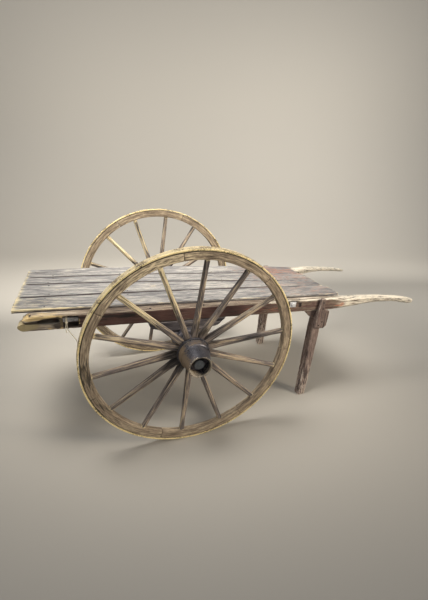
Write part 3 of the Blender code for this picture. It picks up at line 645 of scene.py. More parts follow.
@dataclass(frozen=True)
class Weathering:
    """How far weather has worn a surface back: depth, and the size of its hollows, in metres."""

    depth: float
    along: float
    across: float
    seed: float

    def apply(self, mesh: bpy.types.Mesh) -> None:
        """Notes a mesh's ridges, then sinks its points under its surface by its grain.

        Args:
            mesh: the mesh, with a grain attribute.
        """
        if "edge" not in mesh.attributes:
            store(mesh, "edge", ridges(mesh))
        shares = unevenness(stored(mesh, "grain"), self.along, self.across, self.seed)
        set_points(mesh, points_of(mesh) - normals_of(mesh) * (shares * self.depth)[:, None])


def plain_mesh(name: str, points: np.ndarray, faces: Sequence[Sequence[int]]) -> bpy.types.Mesh:
    """A closed mesh made from points and faces, turned to face outwards.

    Args:
        name: the mesh's name.
        points: one row each.
        faces: lists of point indices.

    Returns:
        The mesh.
    """
    mesh = bpy.data.meshes.new(name)
    mesh.from_pydata(points.tolist(), [], faces)
    mesh.update()
    if turned_inwards(mesh):
        mesh.flip_normals()
    return mesh


def skinned(rings: np.ndarray, looped: bool) -> list[list[int]]:
    """The faces that join rings of points, with a cap at each end unless they are looped.

    Args:
        rings: points by ring and by place in the ring.
        looped: joins the last ring to the first.

    Returns:
        Faces as lists of point indices.
    """
    count, size = rings.shape[:2]
    faces = []
    for ring in range(count if looped else count - 1):
        here = ring * size
        there = (ring + 1) % count * size
        for place in range(size):
            after = (place + 1) % size
            faces.append([here + place, here + after, there + after, there + place])
    if not looped:
        faces.append(list(reversed(range(size))))
        faces.append([(count - 1) * size + place for place in range(size)])
    return faces


def rounded_outline(
    width: float, depth: float, radius: float, steps: int, sides: int
) -> np.ndarray:
    """A rectangle with round corners, centred on the origin.

    Args:
        width: its size along the first axis.
        depth: its size along the second axis.
        radius: of its corners.
        steps: parts of each corner.
        sides: parts of each straight side.

    Returns:
        Its points, one row each.
    """
    corners = ((1, 1, 0.0), (-1, 1, 0.5), (-1, -1, 1.0), (1, -1, 1.5))
    points = []
    for across, along, turn in corners:
        centre = (across * (width / 2.0 - radius), along * (depth / 2.0 - radius))
        for step in range(steps + 1):
            angle = (turn + 0.5 * step / steps) * math.pi
            reach = (radius * math.cos(angle), radius * math.sin(angle))
            points.append((centre[0] + reach[0], centre[1] + reach[1]))
    full = []
    for index, point in enumerate(points):
        full.append(point)
        if index % (steps + 1) == steps:
            after = points[(index + 1) % len(points)]
            for part in range(1, sides):
                full.append(tuple(a + (b - a) * part / sides for a, b in zip(point, after)))
    return np.array(full)


def turned_inwards(mesh: bpy.types.Mesh) -> bool:
    """Whether a closed mesh's faces point inwards, by the sign of its volume.

    Args:
        mesh: the mesh.

    Returns:
        True if the faces point inwards.
    """
    mesh.calc_loop_triangles()
    corners = np.empty(len(mesh.loop_triangles) * 3, int)
    mesh.loop_triangles.foreach_get("vertices", corners)
    a, b, c = points_of(mesh)[corners.reshape(-1, 3)].transpose(1, 0, 2)
    return float(np.einsum("ij,ij->i", a, np.cross(b, c)).sum()) < 0.0


def ring_mesh(
    rings: np.ndarray, grain: Optional[Sequence] = None, looped: bool = False
) -> bpy.types.Mesh:
    """A closed mesh from rings of points.

    Args:
        rings: points by ring and by place in the ring.
        grain: each point's place in grain space; the points themselves if left out.
        looped: joins the last ring to the first.

    Returns:
        The mesh, with its grain.
    """
    rings = np.array(rings)
    points = rings.reshape(-1, 3)
    mesh = plain_mesh("rings", points, skinned(rings, looped))
    store(mesh, "grain", points if grain is None else np.array(grain))
    return mesh


def add_piece(
    name: str,
    mesh: bpy.types.Mesh,
    finish: Finish,
    body: str,
    slot: str,
    nodes: Sequence[str] = (),
    sharp: float = 40.0,
) -> bpy.types.Object:
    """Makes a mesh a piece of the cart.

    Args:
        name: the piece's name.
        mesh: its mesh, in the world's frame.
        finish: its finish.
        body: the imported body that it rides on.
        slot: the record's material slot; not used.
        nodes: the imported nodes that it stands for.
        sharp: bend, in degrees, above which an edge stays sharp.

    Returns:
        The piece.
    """
    mesh.name = name
    mesh.shade_smooth()
    mesh.set_sharp_from_angle(angle=math.radians(sharp))
    mesh.materials.clear()
    mesh.materials.append(finish.material)
    piece = bpy.data.objects.new(name, mesh)
    bpy.context.scene.collection.objects.link(piece)
    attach(piece, body)
    if nodes:
        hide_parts(*nodes)
    LOG.info("%s: %d faces on %s", name, len(mesh.polygons), body)
    return piece


def evaluated_mesh(host: bpy.types.Object) -> bpy.types.Mesh:
    """The plain mesh that an object's modifiers give; the object is removed.

    Args:
        host: the object.

    Returns:
        The mesh.
    """
    depsgraph = bpy.context.evaluated_depsgraph_get()
    mesh = bpy.data.meshes.new_from_object(host.evaluated_get(depsgraph))
    bpy.data.objects.remove(host, do_unlink=True)
    return mesh


def carved(node: str, voxel: float, smoothing: int = 3) -> bpy.types.Mesh:
    """An even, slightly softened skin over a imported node's solid.

    Args:
        node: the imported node.
        voxel: size of the skin's faces.
        smoothing: rounds of smoothing, which round its edges.

    Returns:
        The skin, in the world's frame, with the bed's grain.
    """
    host = bpy.data.objects.new("carving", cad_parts[node].data.copy())
    bpy.context.scene.collection.objects.link(host)
    weld = host.modifiers.new("weld", "WELD")
    weld.merge_threshold = 1e-5
    remesh = host.modifiers.new("remesh", "REMESH")
    remesh.mode = "VOXEL"
    remesh.voxel_size = voxel
    smooth = host.modifiers.new("smooth", "SMOOTH")
    smooth.factor = 0.5
    smooth.iterations = smoothing
    mesh = evaluated_mesh(host)
    for name in ("sharp_face", "material_index"):
        if name in mesh.attributes:
            mesh.attributes.remove(mesh.attributes[name])
    store(mesh, "grain", placed(points_of(mesh), bed_matrix().inverted()))
    return mesh


# Geometry Nodes


class CopyTree(NodeWork):
    """A Geometry Nodes group with named inputs, which ends in Realize Instances and Set Material."""

    def __init__(self, name: str, inputs: Sequence[tuple[str, str]]) -> None:
        """Starts the group.

        Args:
            name: the group's name.
            inputs: each input's name and socket type, after the geometry and the material.
        """
        super().__init__(bpy.data.node_groups.new(name, "GeometryNodeTree"))
        face = self.tree.interface
        face.new_socket("Geometry", in_out="INPUT", socket_type="NodeSocketGeometry")
        face.new_socket("Geometry", in_out="OUTPUT", socket_type="NodeSocketGeometry")
        for label, kind in [("Material", "NodeSocketMaterial"), *inputs]:
            face.new_socket(label, in_out="INPUT", socket_type=kind)
        self.inputs = self.node("NodeGroupInput").outputs

    def copy_to(self, points: object, piece: object, rotation: object, scale: object) -> None:
        """Puts a copy of a piece on every point, and ends the group.

        Args:
            points: the points.
            piece: the object that is copied.
            rotation: each copy's rotation.
            scale: each copy's scale.
        """
        source = self.node("GeometryNodeObjectInfo", {"transform_space": "ORIGINAL"}, {"Object": piece})
        sockets = {"Points": points, "Instance": source.outputs["Geometry"]}
        sockets.update({"Rotation": rotation, "Scale": scale})
        spread = self.node("GeometryNodeInstanceOnPoints", None, sockets)
        real = self.node("GeometryNodeRealizeInstances", None, {"Geometry": spread.outputs[0]})
        dressed = self.node(
            "GeometryNodeSetMaterial",
            None,
            {"Geometry": real.outputs[0], "Material": self.inputs["Material"]},
        )
        self.node("NodeGroupOutput", None, {0: dressed.outputs[0]})

    def run(self, host_mesh: bpy.types.Mesh, values: dict) -> bpy.types.Mesh:
        """Evaluates the group on a mesh.

        Args:
            host_mesh: the mesh that the group starts from.
            values: the value of each named input.

        Returns:
            The result as a plain mesh.
        """
        host = bpy.data.objects.new("copies", host_mesh)
        bpy.context.scene.collection.objects.link(host)
        modifier = host.modifiers.new("copies", "NODES")
        modifier.node_group = self.tree
        for item in self.tree.interface.items_tree:
            if item.in_out == "INPUT" and item.name in values:
                modifier[item.identifier] = values[item.name]
        return evaluated_mesh(host)


def ring_tree() -> CopyTree:
    """Copies a piece round the z axis, at even turns.

    Returns:
        The group, with the inputs Piece and Count.
    """
    work = CopyTree("ring_of_copies", (("Piece", "NodeSocketObject"), ("Count", "NodeSocketInt")))
    points = work.node("GeometryNodePoints", None, {"Count": work.inputs["Count"]})
    index = Level(work, work.node("GeometryNodeInputIndex").outputs[0])
    share = work.node(
        "ShaderNodeMath", {"operation": "DIVIDE"}, {0: index * (2.0 * math.pi), 1: work.inputs["Count"]}
    )
    turn = work.node("ShaderNodeCombineXYZ", None, {"Z": share.outputs[0]})
    work.copy_to(points.outputs[0], work.inputs["Piece"], turn.outputs[0], (1.0, 1.0, 1.0))
    return work


def nail_tree() -> CopyTree:
    """Drives a nail into every point, along the point's facing attribute.

    Returns:
        The group, with the inputs Piece and Size Spread.
    """
    work = CopyTree("driven_nails", (("Piece", "NodeSocketObject"), ("Size Spread", "NodeSocketFloat")))
    facing = work.node("GeometryNodeInputNamedAttribute", {"data_type": "FLOAT_VECTOR"}, {"Name": "facing"})
    turn = work.node(
        "FunctionNodeAlignRotationToVector", {"axis": "Z"}, {"Vector": facing.outputs["Attribute"]}
    )
    spread = Level(work, work.inputs["Size Spread"])
    size = work.node(
        "FunctionNodeRandomValue",
        {"data_type": "FLOAT"},
        {2: 1.0 - spread, 3: 1.0 + spread, "Seed": 11},
    )
    work.copy_to(work.inputs["Geometry"], work.inputs["Piece"], turn.outputs[0], size.outputs[1])
    return work


class Copies:
    """The two groups, and what runs them."""

    grain_shift: float = 1.713
    nail_sides: int = 9
    nail_spread: float = 0.18
    nail_profile: tuple = ((1.0, -0.6), (1.0, 0.35), (0.82, 0.8), (0.40, 1.0), (0.06, 1.02))

    def __init__(self) -> None:
        """Builds both groups."""
        self.ring = ring_tree()
        self.nails = nail_tree()

    @staticmethod
    def _run(
        tree: CopyTree, host: bpy.types.Mesh, source: bpy.types.Mesh, values: dict
    ) -> bpy.types.Mesh:
        """Runs a group with a mesh as the piece that it copies.

        Args:
            tree: the group.
            host: the mesh that it starts from.
            source: the mesh that it copies.
            values: its other inputs by name.

        Returns:
            All copies as one mesh.
        """
        piece = bpy.data.objects.new("copied", source)
        bpy.context.scene.collection.objects.link(piece)
        result = tree.run(host, {"Piece": piece, **values})
        bpy.data.objects.remove(piece, do_unlink=True)
        return result

    def round(self, source: bpy.types.Mesh, count: int, finish: Finish) -> bpy.types.Mesh:
        """Copies a mesh round the z axis, with its grain moved on from copy to copy.

        Args:
            source: the mesh, with a grain attribute.
            count: how many copies.
            finish: their finish.

        Returns:
            All copies as one mesh.
        """
        size = len(source.vertices)
        host = bpy.data.meshes.new("ring_host")
        mesh = self._run(self.ring, host, source, {"Count": count, "Material": finish.material})
        grain = stored(mesh, "grain")
        grain[:, 0] += np.repeat(np.arange(count) * self.grain_shift, size)
        store(mesh, "grain", grain)
        return mesh

    def drive(
        self, places: Sequence[tuple[Vector, Vector]], radius: float, height: float, finish: Finish
    ) -> bpy.types.Mesh:
        """Drives nails at places.

        Args:
            places: the place and the direction of each nail's head.
            radius: of a head.
            height: of a head.
            finish: their finish.

        Returns:
            All heads as one mesh.
        """
        host = bpy.data.meshes.new("nail_places")
        host.from_pydata([tuple(place) for place, _ in places], [], [])
        store(host, "facing", np.array([tuple(facing) for _, facing in places]))
        turns = np.arange(self.nail_sides) * 2.0 * math.pi / self.nail_sides
        rings = []
        for share, level in self.nail_profile:
            reach = share * radius
            rings.append([(reach * math.cos(t), reach * math.sin(t), level * height) for t in turns])
        nail = ring_mesh(rings)
        values = {"Size Spread": self.nail_spread, "Material": finish.material}
        mesh = self._run(self.nails, host, nail, values)
        store(mesh, "grain", points_of(mesh))
        return mesh


# Sub-assemblies


@dataclass(frozen=True)
class Lamp:
    """A square soft light: where it hangs, where it points, and how it shines."""

    name: str
    place: Triple
    target: Triple
    size: float
    spread: float
    power: float
    colour: Triple = (1.0, 0.98, 0.95)

    def hang(self) -> None:
        """Puts the light into the scene, turned to its target."""
        lamp = bpy.data.lights.new(self.name, "AREA")
        lamp.size = self.size
        lamp.spread = math.radians(self.spread)
        lamp.energy = self.power
        lamp.color = self.colour
        holder = bpy.data.objects.new(self.name, lamp)
        aim = Vector(self.target) - Vector(self.place)
        turn = aim.to_track_quat("-Z", "Y").to_matrix().to_4x4()
        holder.matrix_world = Matrix.Translation(Vector(self.place)) @ turn
        bpy.context.scene.collection.objects.link(holder)


@dataclass
class Studio:
    """Camera, floor and soft light. The camera's place was solved from the photograph."""

    eye: Triple = (-0.8655, -2.3044, 1.7231)
    right: Triple = (0.94904, -0.31509, 0.00642)
    down: Triple = (-0.10650, -0.33980, -0.93445)
    forward: Triple = (0.29661, 0.88615, -0.35604)
    lens: float = 21.867
    sensor: float = 36.0
    rise: float = -0.02903
    floor_reach: float = 9.0
    floor_flat: float = 3.2
    sweep_radius: float = 2.6
    sweep_steps: int = 16
    floor_tone: Triple = tone(178, 172, 161)
    glow_tone: Triple = (0.93, 0.95, 1.0)
    glow: float = 0.44
    lamps: tuple = (
        Lamp("key_light", (-1.2, 0.2, 4.6), (0.0, 1.1, 0.0), 2.2, 62.0, 47.0),
        Lamp("side_light", (3.4, -3.2, 2.4), (-0.2, 0.2, 0.8), 1.2, 44.0, 15.0, (1.0, 0.90, 0.76)),
        Lamp("wall_light_left", (-1.8, 1.5, 2.3), (-1.0, 5.6, 1.7), 3.4, 150.0, 128.0),
        Lamp("wall_light_right", (2.6, 1.5, 2.3), (3.9, 5.6, 1.5), 3.4, 155.0, 92.0),
        Lamp("floor_light", (3.0, 0.7, 2.6), (3.0, 0.6, 0.0), 1.6, 60.0, 4.5),
    )

    def place_camera(self) -> None:
        """Puts the camera where the photograph was taken from."""
        lens = bpy.data.cameras.new("camera")
        lens.lens = self.lens
        lens.sensor_width = self.sensor
        lens.shift_y = self.rise
        camera = bpy.data.objects.new("camera", lens)
        axes = (Vector(self.right), -Vector(self.down), -Vector(self.forward))
        turn = Matrix(axes).transposed().to_4x4()
        camera.matrix_world = Matrix.Translation(Vector(self.eye)) @ turn
        bpy.context.scene.collection.objects.link(camera)
        bpy.context.scene.camera = camera

    def lay_floor(self) -> None:
        """A pale floor that sweeps up behind the cart."""
        flat, radius = self.floor_flat, self.sweep_radius
        run = [(-self.floor_reach, 0.0), (flat, 0.0)]
        for angle in np.linspace(0.1, math.pi / 2.0, self.sweep_steps):
            run.append((flat + radius * math.sin(angle), radius - radius * math.cos(angle)))
        run.append((flat + radius, self.floor_reach))
        points = []
        ahead = Vector((self.forward[0], self.forward[1], 0.0)).normalized()
        across = Vector((ahead.y, -ahead.x, 0.0))
        for distance, height in run:
            for side in (-self.floor_reach, self.floor_reach):
                point = ahead * distance + across * side
                points.append((point.x, point.y, height))
        faces = [[2 * i, 2 * i + 1, 2 * i + 3, 2 * i + 2] for i in range(len(run) - 1)]
        mesh = plain_mesh("floor", np.array(points), faces)
        mesh.shade_smooth()
        pale = bpy.data.materials.new("pale_floor")
        pale.use_nodes = True
        shader = pale.node_tree.nodes["Principled BSDF"]
        shader.inputs["Base Color"].default_value = (*self.floor_tone, 1.0)
        shader.inputs["Roughness"].default_value = 0.95
        shader.inputs["Specular IOR Level"].default_value = 0.1
        mesh.materials.append(pale)
        floor = bpy.data.objects.new("floor", mesh)
        bpy.context.scene.collection.objects.link(floor)

    def light(self) -> None:
        """Soft lights from above and the side, three on wall and floor behind, and an even glow."""
        for lamp in self.lamps:
            lamp.hang()
        world = bpy.data.worlds.new("soft_world")
        world.use_nodes = True
        back = world.node_tree.nodes["Background"]
        back.inputs["Color"].default_value = (*self.glow_tone, 1.0)
        back.inputs["Strength"].default_value = self.glow
        bpy.context.scene.world = world
        bpy.context.scene.view_settings.view_transform = "Standard"


@dataclass
class Twines:
    """The twine tied round the lashing bar of the left rail, with its two loose ends."""

    diameter: float = 0.0045
    knot_x: float = -0.668
    knot_z: float = 0.1465
    knot_radius: float = 0.0085
    rail_top: float = 0.1928
    bar_low: float = 0.148
    bar_high: float = 0.170
    bar_set_back: float = 0.008
    bar_depth: float = 0.018
    strands: int = 3
    sides: int = 12
    twist_rise: float = 2.6
    strand_swell: float = 0.05
    turn_spacing: float = 0.0048
    turn_room: float = 0.0006
    knot_steps: int = 96
    sharp: float = 80.0

    # Routes: x, distance out from the rail's face, height above its top, as in the part's source
    main_route: tuple = (
        (-0.6653, 0.0011, -0.0546), (-0.6652, 0.0014, -0.0628), (-0.6643, 0.0024, -0.0713),
        (-0.6622, 0.0028, -0.0798), (-0.6590, 0.0032, -0.0888), (-0.6546, 0.0038, -0.0978),
        (-0.6492, 0.0040, -0.1068), (-0.6430, 0.0040, -0.1158), (-0.6365, 0.0040, -0.1258),
        (-0.6300, 0.0040, -0.1368), (-0.6238, 0.0040, -0.1483), (-0.6180, 0.0038, -0.1608),
        (-0.6133, 0.0036, -0.1738), (-0.6100, 0.0034, -0.1878), (-0.6080, 0.0032, -0.2028),
        (-0.6070, 0.0030, -0.2188),
    )
    tail_route: tuple = (
        (-0.6707, 0.0011, -0.0546), (-0.6708, 0.0013, -0.0583), (-0.6711, 0.0017, -0.0618),
        (-0.6714, 0.0021, -0.0653), (-0.6717, 0.0024, -0.0688), (-0.6719, 0.0026, -0.0723),
        (-0.6720, 0.0027, -0.0758), (-0.6719, 0.0028, -0.0793), (-0.6717, 0.0029, -0.0828),
        (-0.6713, 0.0031, -0.0863), (-0.6707, 0.0034, -0.0898), (-0.6700, 0.0037, -0.0933),
        (-0.6692, 0.0040, -0.0968), (-0.6684, 0.0043, -0.1003), (-0.6677, 0.0046, -0.1038),
    )

    @property
    def face(self) -> float:
        """Distance of the rail's outer face from the middle of the bed, at the knot."""
        return rail_face(self.knot_x)

    def line(self, route: Sequence[Triple], parts: int = 14) -> np.ndarray:
        """A smooth line through a route's points, in the bed's frame.

        Args:
            route: the route, from one of the tables above.
            parts: parts between two points of the route.

        Returns:
            The line's points, one row each.
        """
        points = np.array([(x, -(self.face + out), self.rail_top + z) for x, out, z in route])
        ends = np.vstack((2.0 * points[0] - points[1], points, 2.0 * points[-1] - points[-2]))
        fine = []
        for index in range(1, len(ends) - 2):
            before, start, end, after = ends[index - 1:index + 3]
            for t in np.arange(parts) / parts:
                bend = (2.0 * before - 5.0 * start + 4.0 * end - after) * t * t
                swing = (3.0 * start - before - 3.0 * end + after) * t ** 3
                fine.append(0.5 * (2.0 * start + (end - before) * t + bend + swing))
        fine.append(points[-1])
        return np.array(fine)

    def strand_tube(self, line: np.ndarray, diameter: float, looped: bool = False) -> bpy.types.Mesh:
        """A twisted tube of three strands along a line.

        Args:
            line: the points that it follows, in the bed's frame.
            diameter: across its strands.
            looped: joins its end to its start.

        Returns:
            The tube in the world's frame, with its grain along the line.
        """
        ahead = np.gradient(line, axis=0)
        ahead /= np.linalg.norm(ahead, axis=1)[:, None]
        side = np.array((0.0, 1.0, 0.0)) if abs(ahead[0][1]) < 0.8 else np.array((1.0, 0.0, 0.0))
        steps = np.linalg.norm(np.diff(line, axis=0), axis=1)
        travelled = np.concatenate(((0.0,), np.cumsum(steps)))
        rings, grain = [], []
        for place, way, far in zip(line, ahead, travelled):
            side = side - way * side.dot(way)
            side /= np.linalg.norm(side)
            up = np.cross(way, side)
            twist = far / (diameter * self.twist_rise) * 2.0 * math.pi
            ring = []
            for step in range(self.sides):
                angle = 2.0 * math.pi * step / self.sides
                swell = self.strand_swell * math.cos(self.strands * (angle - twist / self.strands))
                reach = diameter / 2.0 * (1.0 - self.strand_swell + swell)
                ring.append(place + (side * math.cos(angle) + up * math.sin(angle)) * reach)
                grain.append((far, angle * 0.001, 0.0))
            rings.append(ring)
        mesh = ring_mesh(rings, grain, looped)
        set_points(mesh, placed(points_of(mesh), bed_matrix()))
        return mesh

    def knot_mesh(self) -> bpy.types.Mesh:
        """Two turns round the bar and an overhand knot in front of them.

        Returns:
            The mesh in the world's frame.
        """
        near = -(self.face - self.bar_set_back) - self.turn_room
        far = near + self.bar_depth + 2.0 * self.turn_room
        middle = ((near + far) / 2.0, (self.bar_low + self.bar_high) / 2.0)
        half = self.diameter / 2.0
        height = self.bar_high - self.bar_low + 2.0 * self.turn_room + self.diameter
        span = (far - near + self.diameter, height)
        outline = rounded_outline(*span, half * 1.4, 4, 6)
        meshes = []
        for shift in (-self.turn_spacing / 2.0, self.turn_spacing / 2.0):
            loop = [(self.knot_x + shift, middle[0] + u, middle[1] + v) for u, v in outline]
            meshes.append(self.strand_tube(np.array(loop), self.diameter, True))
        turns = np.linspace(0.0, 2.0 * math.pi, self.knot_steps + 1)[:-1]
        size = (self.knot_radius - half) / 3.0
        trefoil = np.stack(
            (
                self.knot_x + size * (np.sin(turns) + 2.0 * np.sin(2.0 * turns)),
                near - self.knot_radius + size * -np.sin(3.0 * turns) * 1.4,
                self.knot_z + size * (np.cos(turns) - 2.0 * np.cos(2.0 * turns)) * 0.72,
            ),
            axis=1,
        )
        meshes.append(self.strand_tube(trefoil, self.diameter, True))
        return joined_meshes(meshes)

    def build(self) -> None:
        look = (Finish.TWINE, BED, "twine")
        knot = add_piece("tied_knot", self.knot_mesh(), *look, ("twine_knot",), self.sharp)
        for name, node, route in (
            ("long_end", "twine", self.main_route),
            ("short_end", "twine_tail", self.tail_route),
        ):
            line = self.line(route)
            mesh = self.strand_tube(line, self.diameter)
            end = add_piece(name, mesh, *look, (node,), self.sharp)


def joined_meshes(meshes: Sequence[bpy.types.Mesh]) -> bpy.types.Mesh:
    """Several meshes as one, each with its own grain.

    Args:
        meshes: the meshes, each with a grain attribute.

    Returns:
        The whole mesh.
    """
    faces, count = [], 0
    for mesh in meshes:
        faces += [[count + index for index in face.vertices] for face in mesh.polygons]
        count += len(mesh.vertices)
    whole = plain_mesh("joined", np.vstack([points_of(mesh) for mesh in meshes]), faces)
    store(whole, "grain", np.concatenate([stored(mesh, "grain") for mesh in meshes]))
    return whole


@dataclass
class BoardGrid:
    """A board's points: rings round its section, one for each station along it."""

    index: int
    tail: float
    head: float
    width: float
    across: np.ndarray
    level: np.ndarray
    x: np.ndarray
    y: np.ndarray
    z: np.ndarray
    from_edge: np.ndarray

    @property
    def top_face(self) -> np.ndarray:
        """1 on the board's upper face, 0 elsewhere."""
        return (self.level > 0.99).astype(float)

    @property
    def outer(self) -> np.ndarray:
        """Whether a point lies on the half of an outer board that looks outwards."""
        first = (self.index == 0) & (self.across < 0.5)
        return first | ((self.index == BOARD_COUNT - 1) & (self.across > 0.5))

    def rows(self, shift: float = 0.0) -> np.ndarray:
        """The points one by one, raised by a shift."""
        return np.stack((self.x, self.y, self.z + shift), axis=2).reshape(-1, 3)


@dataclass
class Deck:
    """Four bare boards that lie along the rails."""

    half_width: float = RAIL_FACE
    bottom: float = 0.1931
    top: float = 0.2111
    tail: float = -0.935
    head: float = 1.090
    gap: float = 0.005

    # Joint lines: at the tail, the middle and the head, as shares of half the width
    lines: tuple = (
        (-0.8850, -0.8442, -0.8312),
        (-0.4182, -0.3659, -0.4104),
        (0.1464, 0.0941, -0.1464),
        (0.4652, 0.5227, 0.3476),
        (0.9148, 1.0089, 0.7946),
    )

    # How far each board's tail and head stand past the deck's
    ends: tuple = ((-0.004, 0.035), (-0.001, 0.006), (0.0, 0.010), (0.0, -0.020))
    bearers: tuple = (-0.780, -0.330, 0.360, 0.860)
    stations: int = 150
    columns: int = 22
    side_levels: tuple[float, float] = (0.72, 0.28)
    rim_columns: Triple = (0.0015, 0.004, 0.008)
    grain_step: tuple[float, float] = (2.37, 0.31)
    frayed: float = 0.012
    frayed_reach: float = 0.09
    hollow: float = 0.0022
    split_half: float = 0.0022
    split_depth: float = 0.011
    nail_parts: tuple[float, float] = (0.16, 0.84)
    nail_shift: float = 0.012
    nail_sunk: float = 0.0022
    nail_radius: float = 0.0052
    nail_height: float = 0.0018
    sharp: float = 50.0

    # Splits that run in from a board's ends: share of the width, length, and which end
    splits: tuple = (
        ((0.34, 0.30, 0), (0.72, 0.46, 1), (0.55, 0.16, 0)),
        ((0.22, 0.38, 1), (0.61, 0.24, 0), (0.83, 0.30, 1)),
        ((0.47, 0.52, 0), (0.30, 0.28, 1)),
        ((0.64, 0.22, 0), (0.38, 0.60, 1), (0.80, 0.34, 1)),
    )

    def edge(self, line: int, share: np.ndarray) -> np.ndarray:
        """Where a joint line runs, at shares of the deck's length.

        Args:
            line: the joint line, counted from the left.
            share: shares of the deck's length from its tail.

        Returns:
            Each share's distance from the middle of the bed.
        """
        tail, middle, head = self.lines[line]
        place = tail * 2.0 * (share - 0.5) * (share - 1.0) - middle * 4.0 * share * (share - 1.0)
        return (place + head * 2.0 * share * (share - 0.5)) * self.half_width

    def board(self, index: int) -> bpy.types.Mesh:
        """One board, with worn edges, ragged ends and open splits.

        Args:
            index: the board, counted from the left.

        Returns:
            Its mesh in the world's frame.
        """
        grid = self.grid(index)
        grain = grid.rows(index * self.grain_step[1])
        chewed = unevenness(grain, 0.09, 0.05, 31.0 + index).reshape(grid.x.shape)
        self._wear(grid, grain, chewed)
        opened = self._opened(grid)
        grid.z = grid.z - grid.top_face * opened
        rings = np.stack((grid.x, grid.y, grid.z), axis=2)
        mesh = ring_mesh(rings, grain + (index * self.grain_step[0], 0.0, 0.0))
        set_points(mesh, placed(points_of(mesh), bed_matrix()))
        self._bare(mesh, grid, chewed, opened)
        self._stain(mesh, grid)
        return mesh

    def grid(self, index: int) -> BoardGrid:
        """A board's points before its wear.

        Args:
            index: the board, counted from the left.

        Returns:
            The points, with closer columns at its edges and at its splits.
        """
        share = np.linspace(0.0, 1.0, self.stations)
        tail = self.tail + self.ends[index][0]
        head = self.head + self.ends[index][1]
        low = self.edge(index, share) + (self.gap / 2.0 if index > 0 else 0.0)
        high = self.edge(index + 1, share) - (self.gap / 2.0 if index < BOARD_COUNT - 1 else 0.0)
        width = float(np.mean(high - low))
        half = self.split_half / width
        across = np.linspace(0.0, 1.0, self.columns)
        for place, _, _ in self.splits[index]:
            across = np.concatenate((across, (place - half, place, place + half)))
        rim = np.array(self.rim_columns) / width
        across = np.sort(np.concatenate((across, rim, 1.0 - rim)))
        ones, sides = np.ones(len(across)), self.side_levels
        level = np.concatenate((ones, sides, ones * 0.0, sides[::-1]))
        across = np.concatenate((across, (1.0, 1.0), across[::-1], (0.0, 0.0)))
        span = (high - low)[:, None]
        x = tail + (head - tail) * share[:, None] + np.zeros(len(level))
        y = low[:, None] + span * across
        z = self.bottom + (self.top - self.bottom) * level + np.zeros_like(x)
        from_edge = np.minimum(across, 1.0 - across) * span
        return BoardGrid(index, tail, head, width, across, level, x, y, z, from_edge)

    def _wear(self, grid: BoardGrid, grain: np.ndarray, chewed: np.ndarray) -> None:
        """Frays a board's ends, rounds its edges and hollows its face.

        Args:
            grid: the board's points, which are moved.
            grain: the same points in grain space.
            chewed: how badly each point's edge is worn, from 0 to 1.
        """
        x, reach = grid.x, self.frayed_reach
        ragged = unevenness(grain * (0.0, 1.0, 1.0), 1.0, 0.016, 5.0 + grid.index) ** 2
        ragged = self.frayed * ragged.reshape(x.shape)
        at_tail = eased(grid.tail + reach - x, 0.0, reach)
        at_head = eased(x - grid.head + reach, 0.0, reach)
        grid.x = x + ragged * at_tail - ragged * at_head
        rounded = np.clip(1.0 - grid.from_edge / (0.004 + 0.005 * chewed), 0.0, 1.0) ** 2
        hollows = unevenness(grain, 0.35, 0.045, 53.0).reshape(x.shape)
        grid.z = grid.z - grid.top_face * rounded * (0.002 + 0.005 * chewed)
        grid.z = grid.z - grid.top_face * self.hollow * hollows
        pull = (chewed * 0.0022 + 0.0004) * (grid.level > 0.2) * (grid.from_edge < 0.0005)
        grid.y = grid.y + np.where(grid.across < 0.5, pull, -pull)

    def _opened(self, grid: BoardGrid) -> np.ndarray:
        """How deep a board's splits are at each point.

        Args:
            grid: the board's worn points.

        Returns:
            The depths in metres.
        """
        depth = np.zeros_like(grid.x)
        for place, length, end in self.splits[grid.index]:
            reach = (grid.x - grid.tail) if end == 0 else (grid.head - grid.x)
            fade = np.clip(1.0 - reach / length, 0.0, 1.0)
            here = np.abs(grid.across - place) < 0.0005 / grid.width
            depth = np.maximum(depth, here * np.sqrt(fade) * self.split_depth)
        return depth

    def _bare(
        self, mesh: bpy.types.Mesh, grid: BoardGrid, chewed: np.ndarray, opened: np.ndarray
    ) -> None:
        """Marks a board's worn rims and ends, its dark joints and splits, and painted shadow under its
        outer edge.

        Args:
            mesh: the board.
            grid: its worn points.
            chewed: how badly each point's edge is worn, from 0 to 1.
            opened: how deep its splits are at each point.
        """
        x, outer = grid.x, grid.outer
        fading = 0.55 + 0.45 * eased(grid.tail + 0.45 - x, 0.0, 0.40)
        near_rim = peak(grid.from_edge, 0.0, 0.009) * (0.15 + 1.1 * chewed) * fading
        near_end = np.maximum(
            eased(grid.tail + 0.035 - x, 0.0, 0.035), eased(x - grid.head + 0.03, 0.0, 0.03)
        )
        bare = np.maximum(near_rim * outer * (grid.level > 0.5), near_end * 0.55)
        store(mesh, "edge", bare.ravel())
        # The dark band along each joint is dirt together with painted shade in the gap between boards.
        joint = peak(grid.from_edge, 0.0, 0.010) * (0.6 + 0.9 * chewed) * (1.0 - outer)
        joint = joint * (1.0 - near_end) * (1.0 - 0.55 * eased(x, 0.35, 0.85))
        # Painted shadow on the lower part of an outer board's outer edge, where it meets the rail.
        shadow_under_edge = outer * (grid.level < 0.5)
        dark = np.maximum(np.maximum(opened / self.split_depth * 1.1, joint), shadow_under_edge * 0.75)
        store(mesh, "tar", dark.ravel())

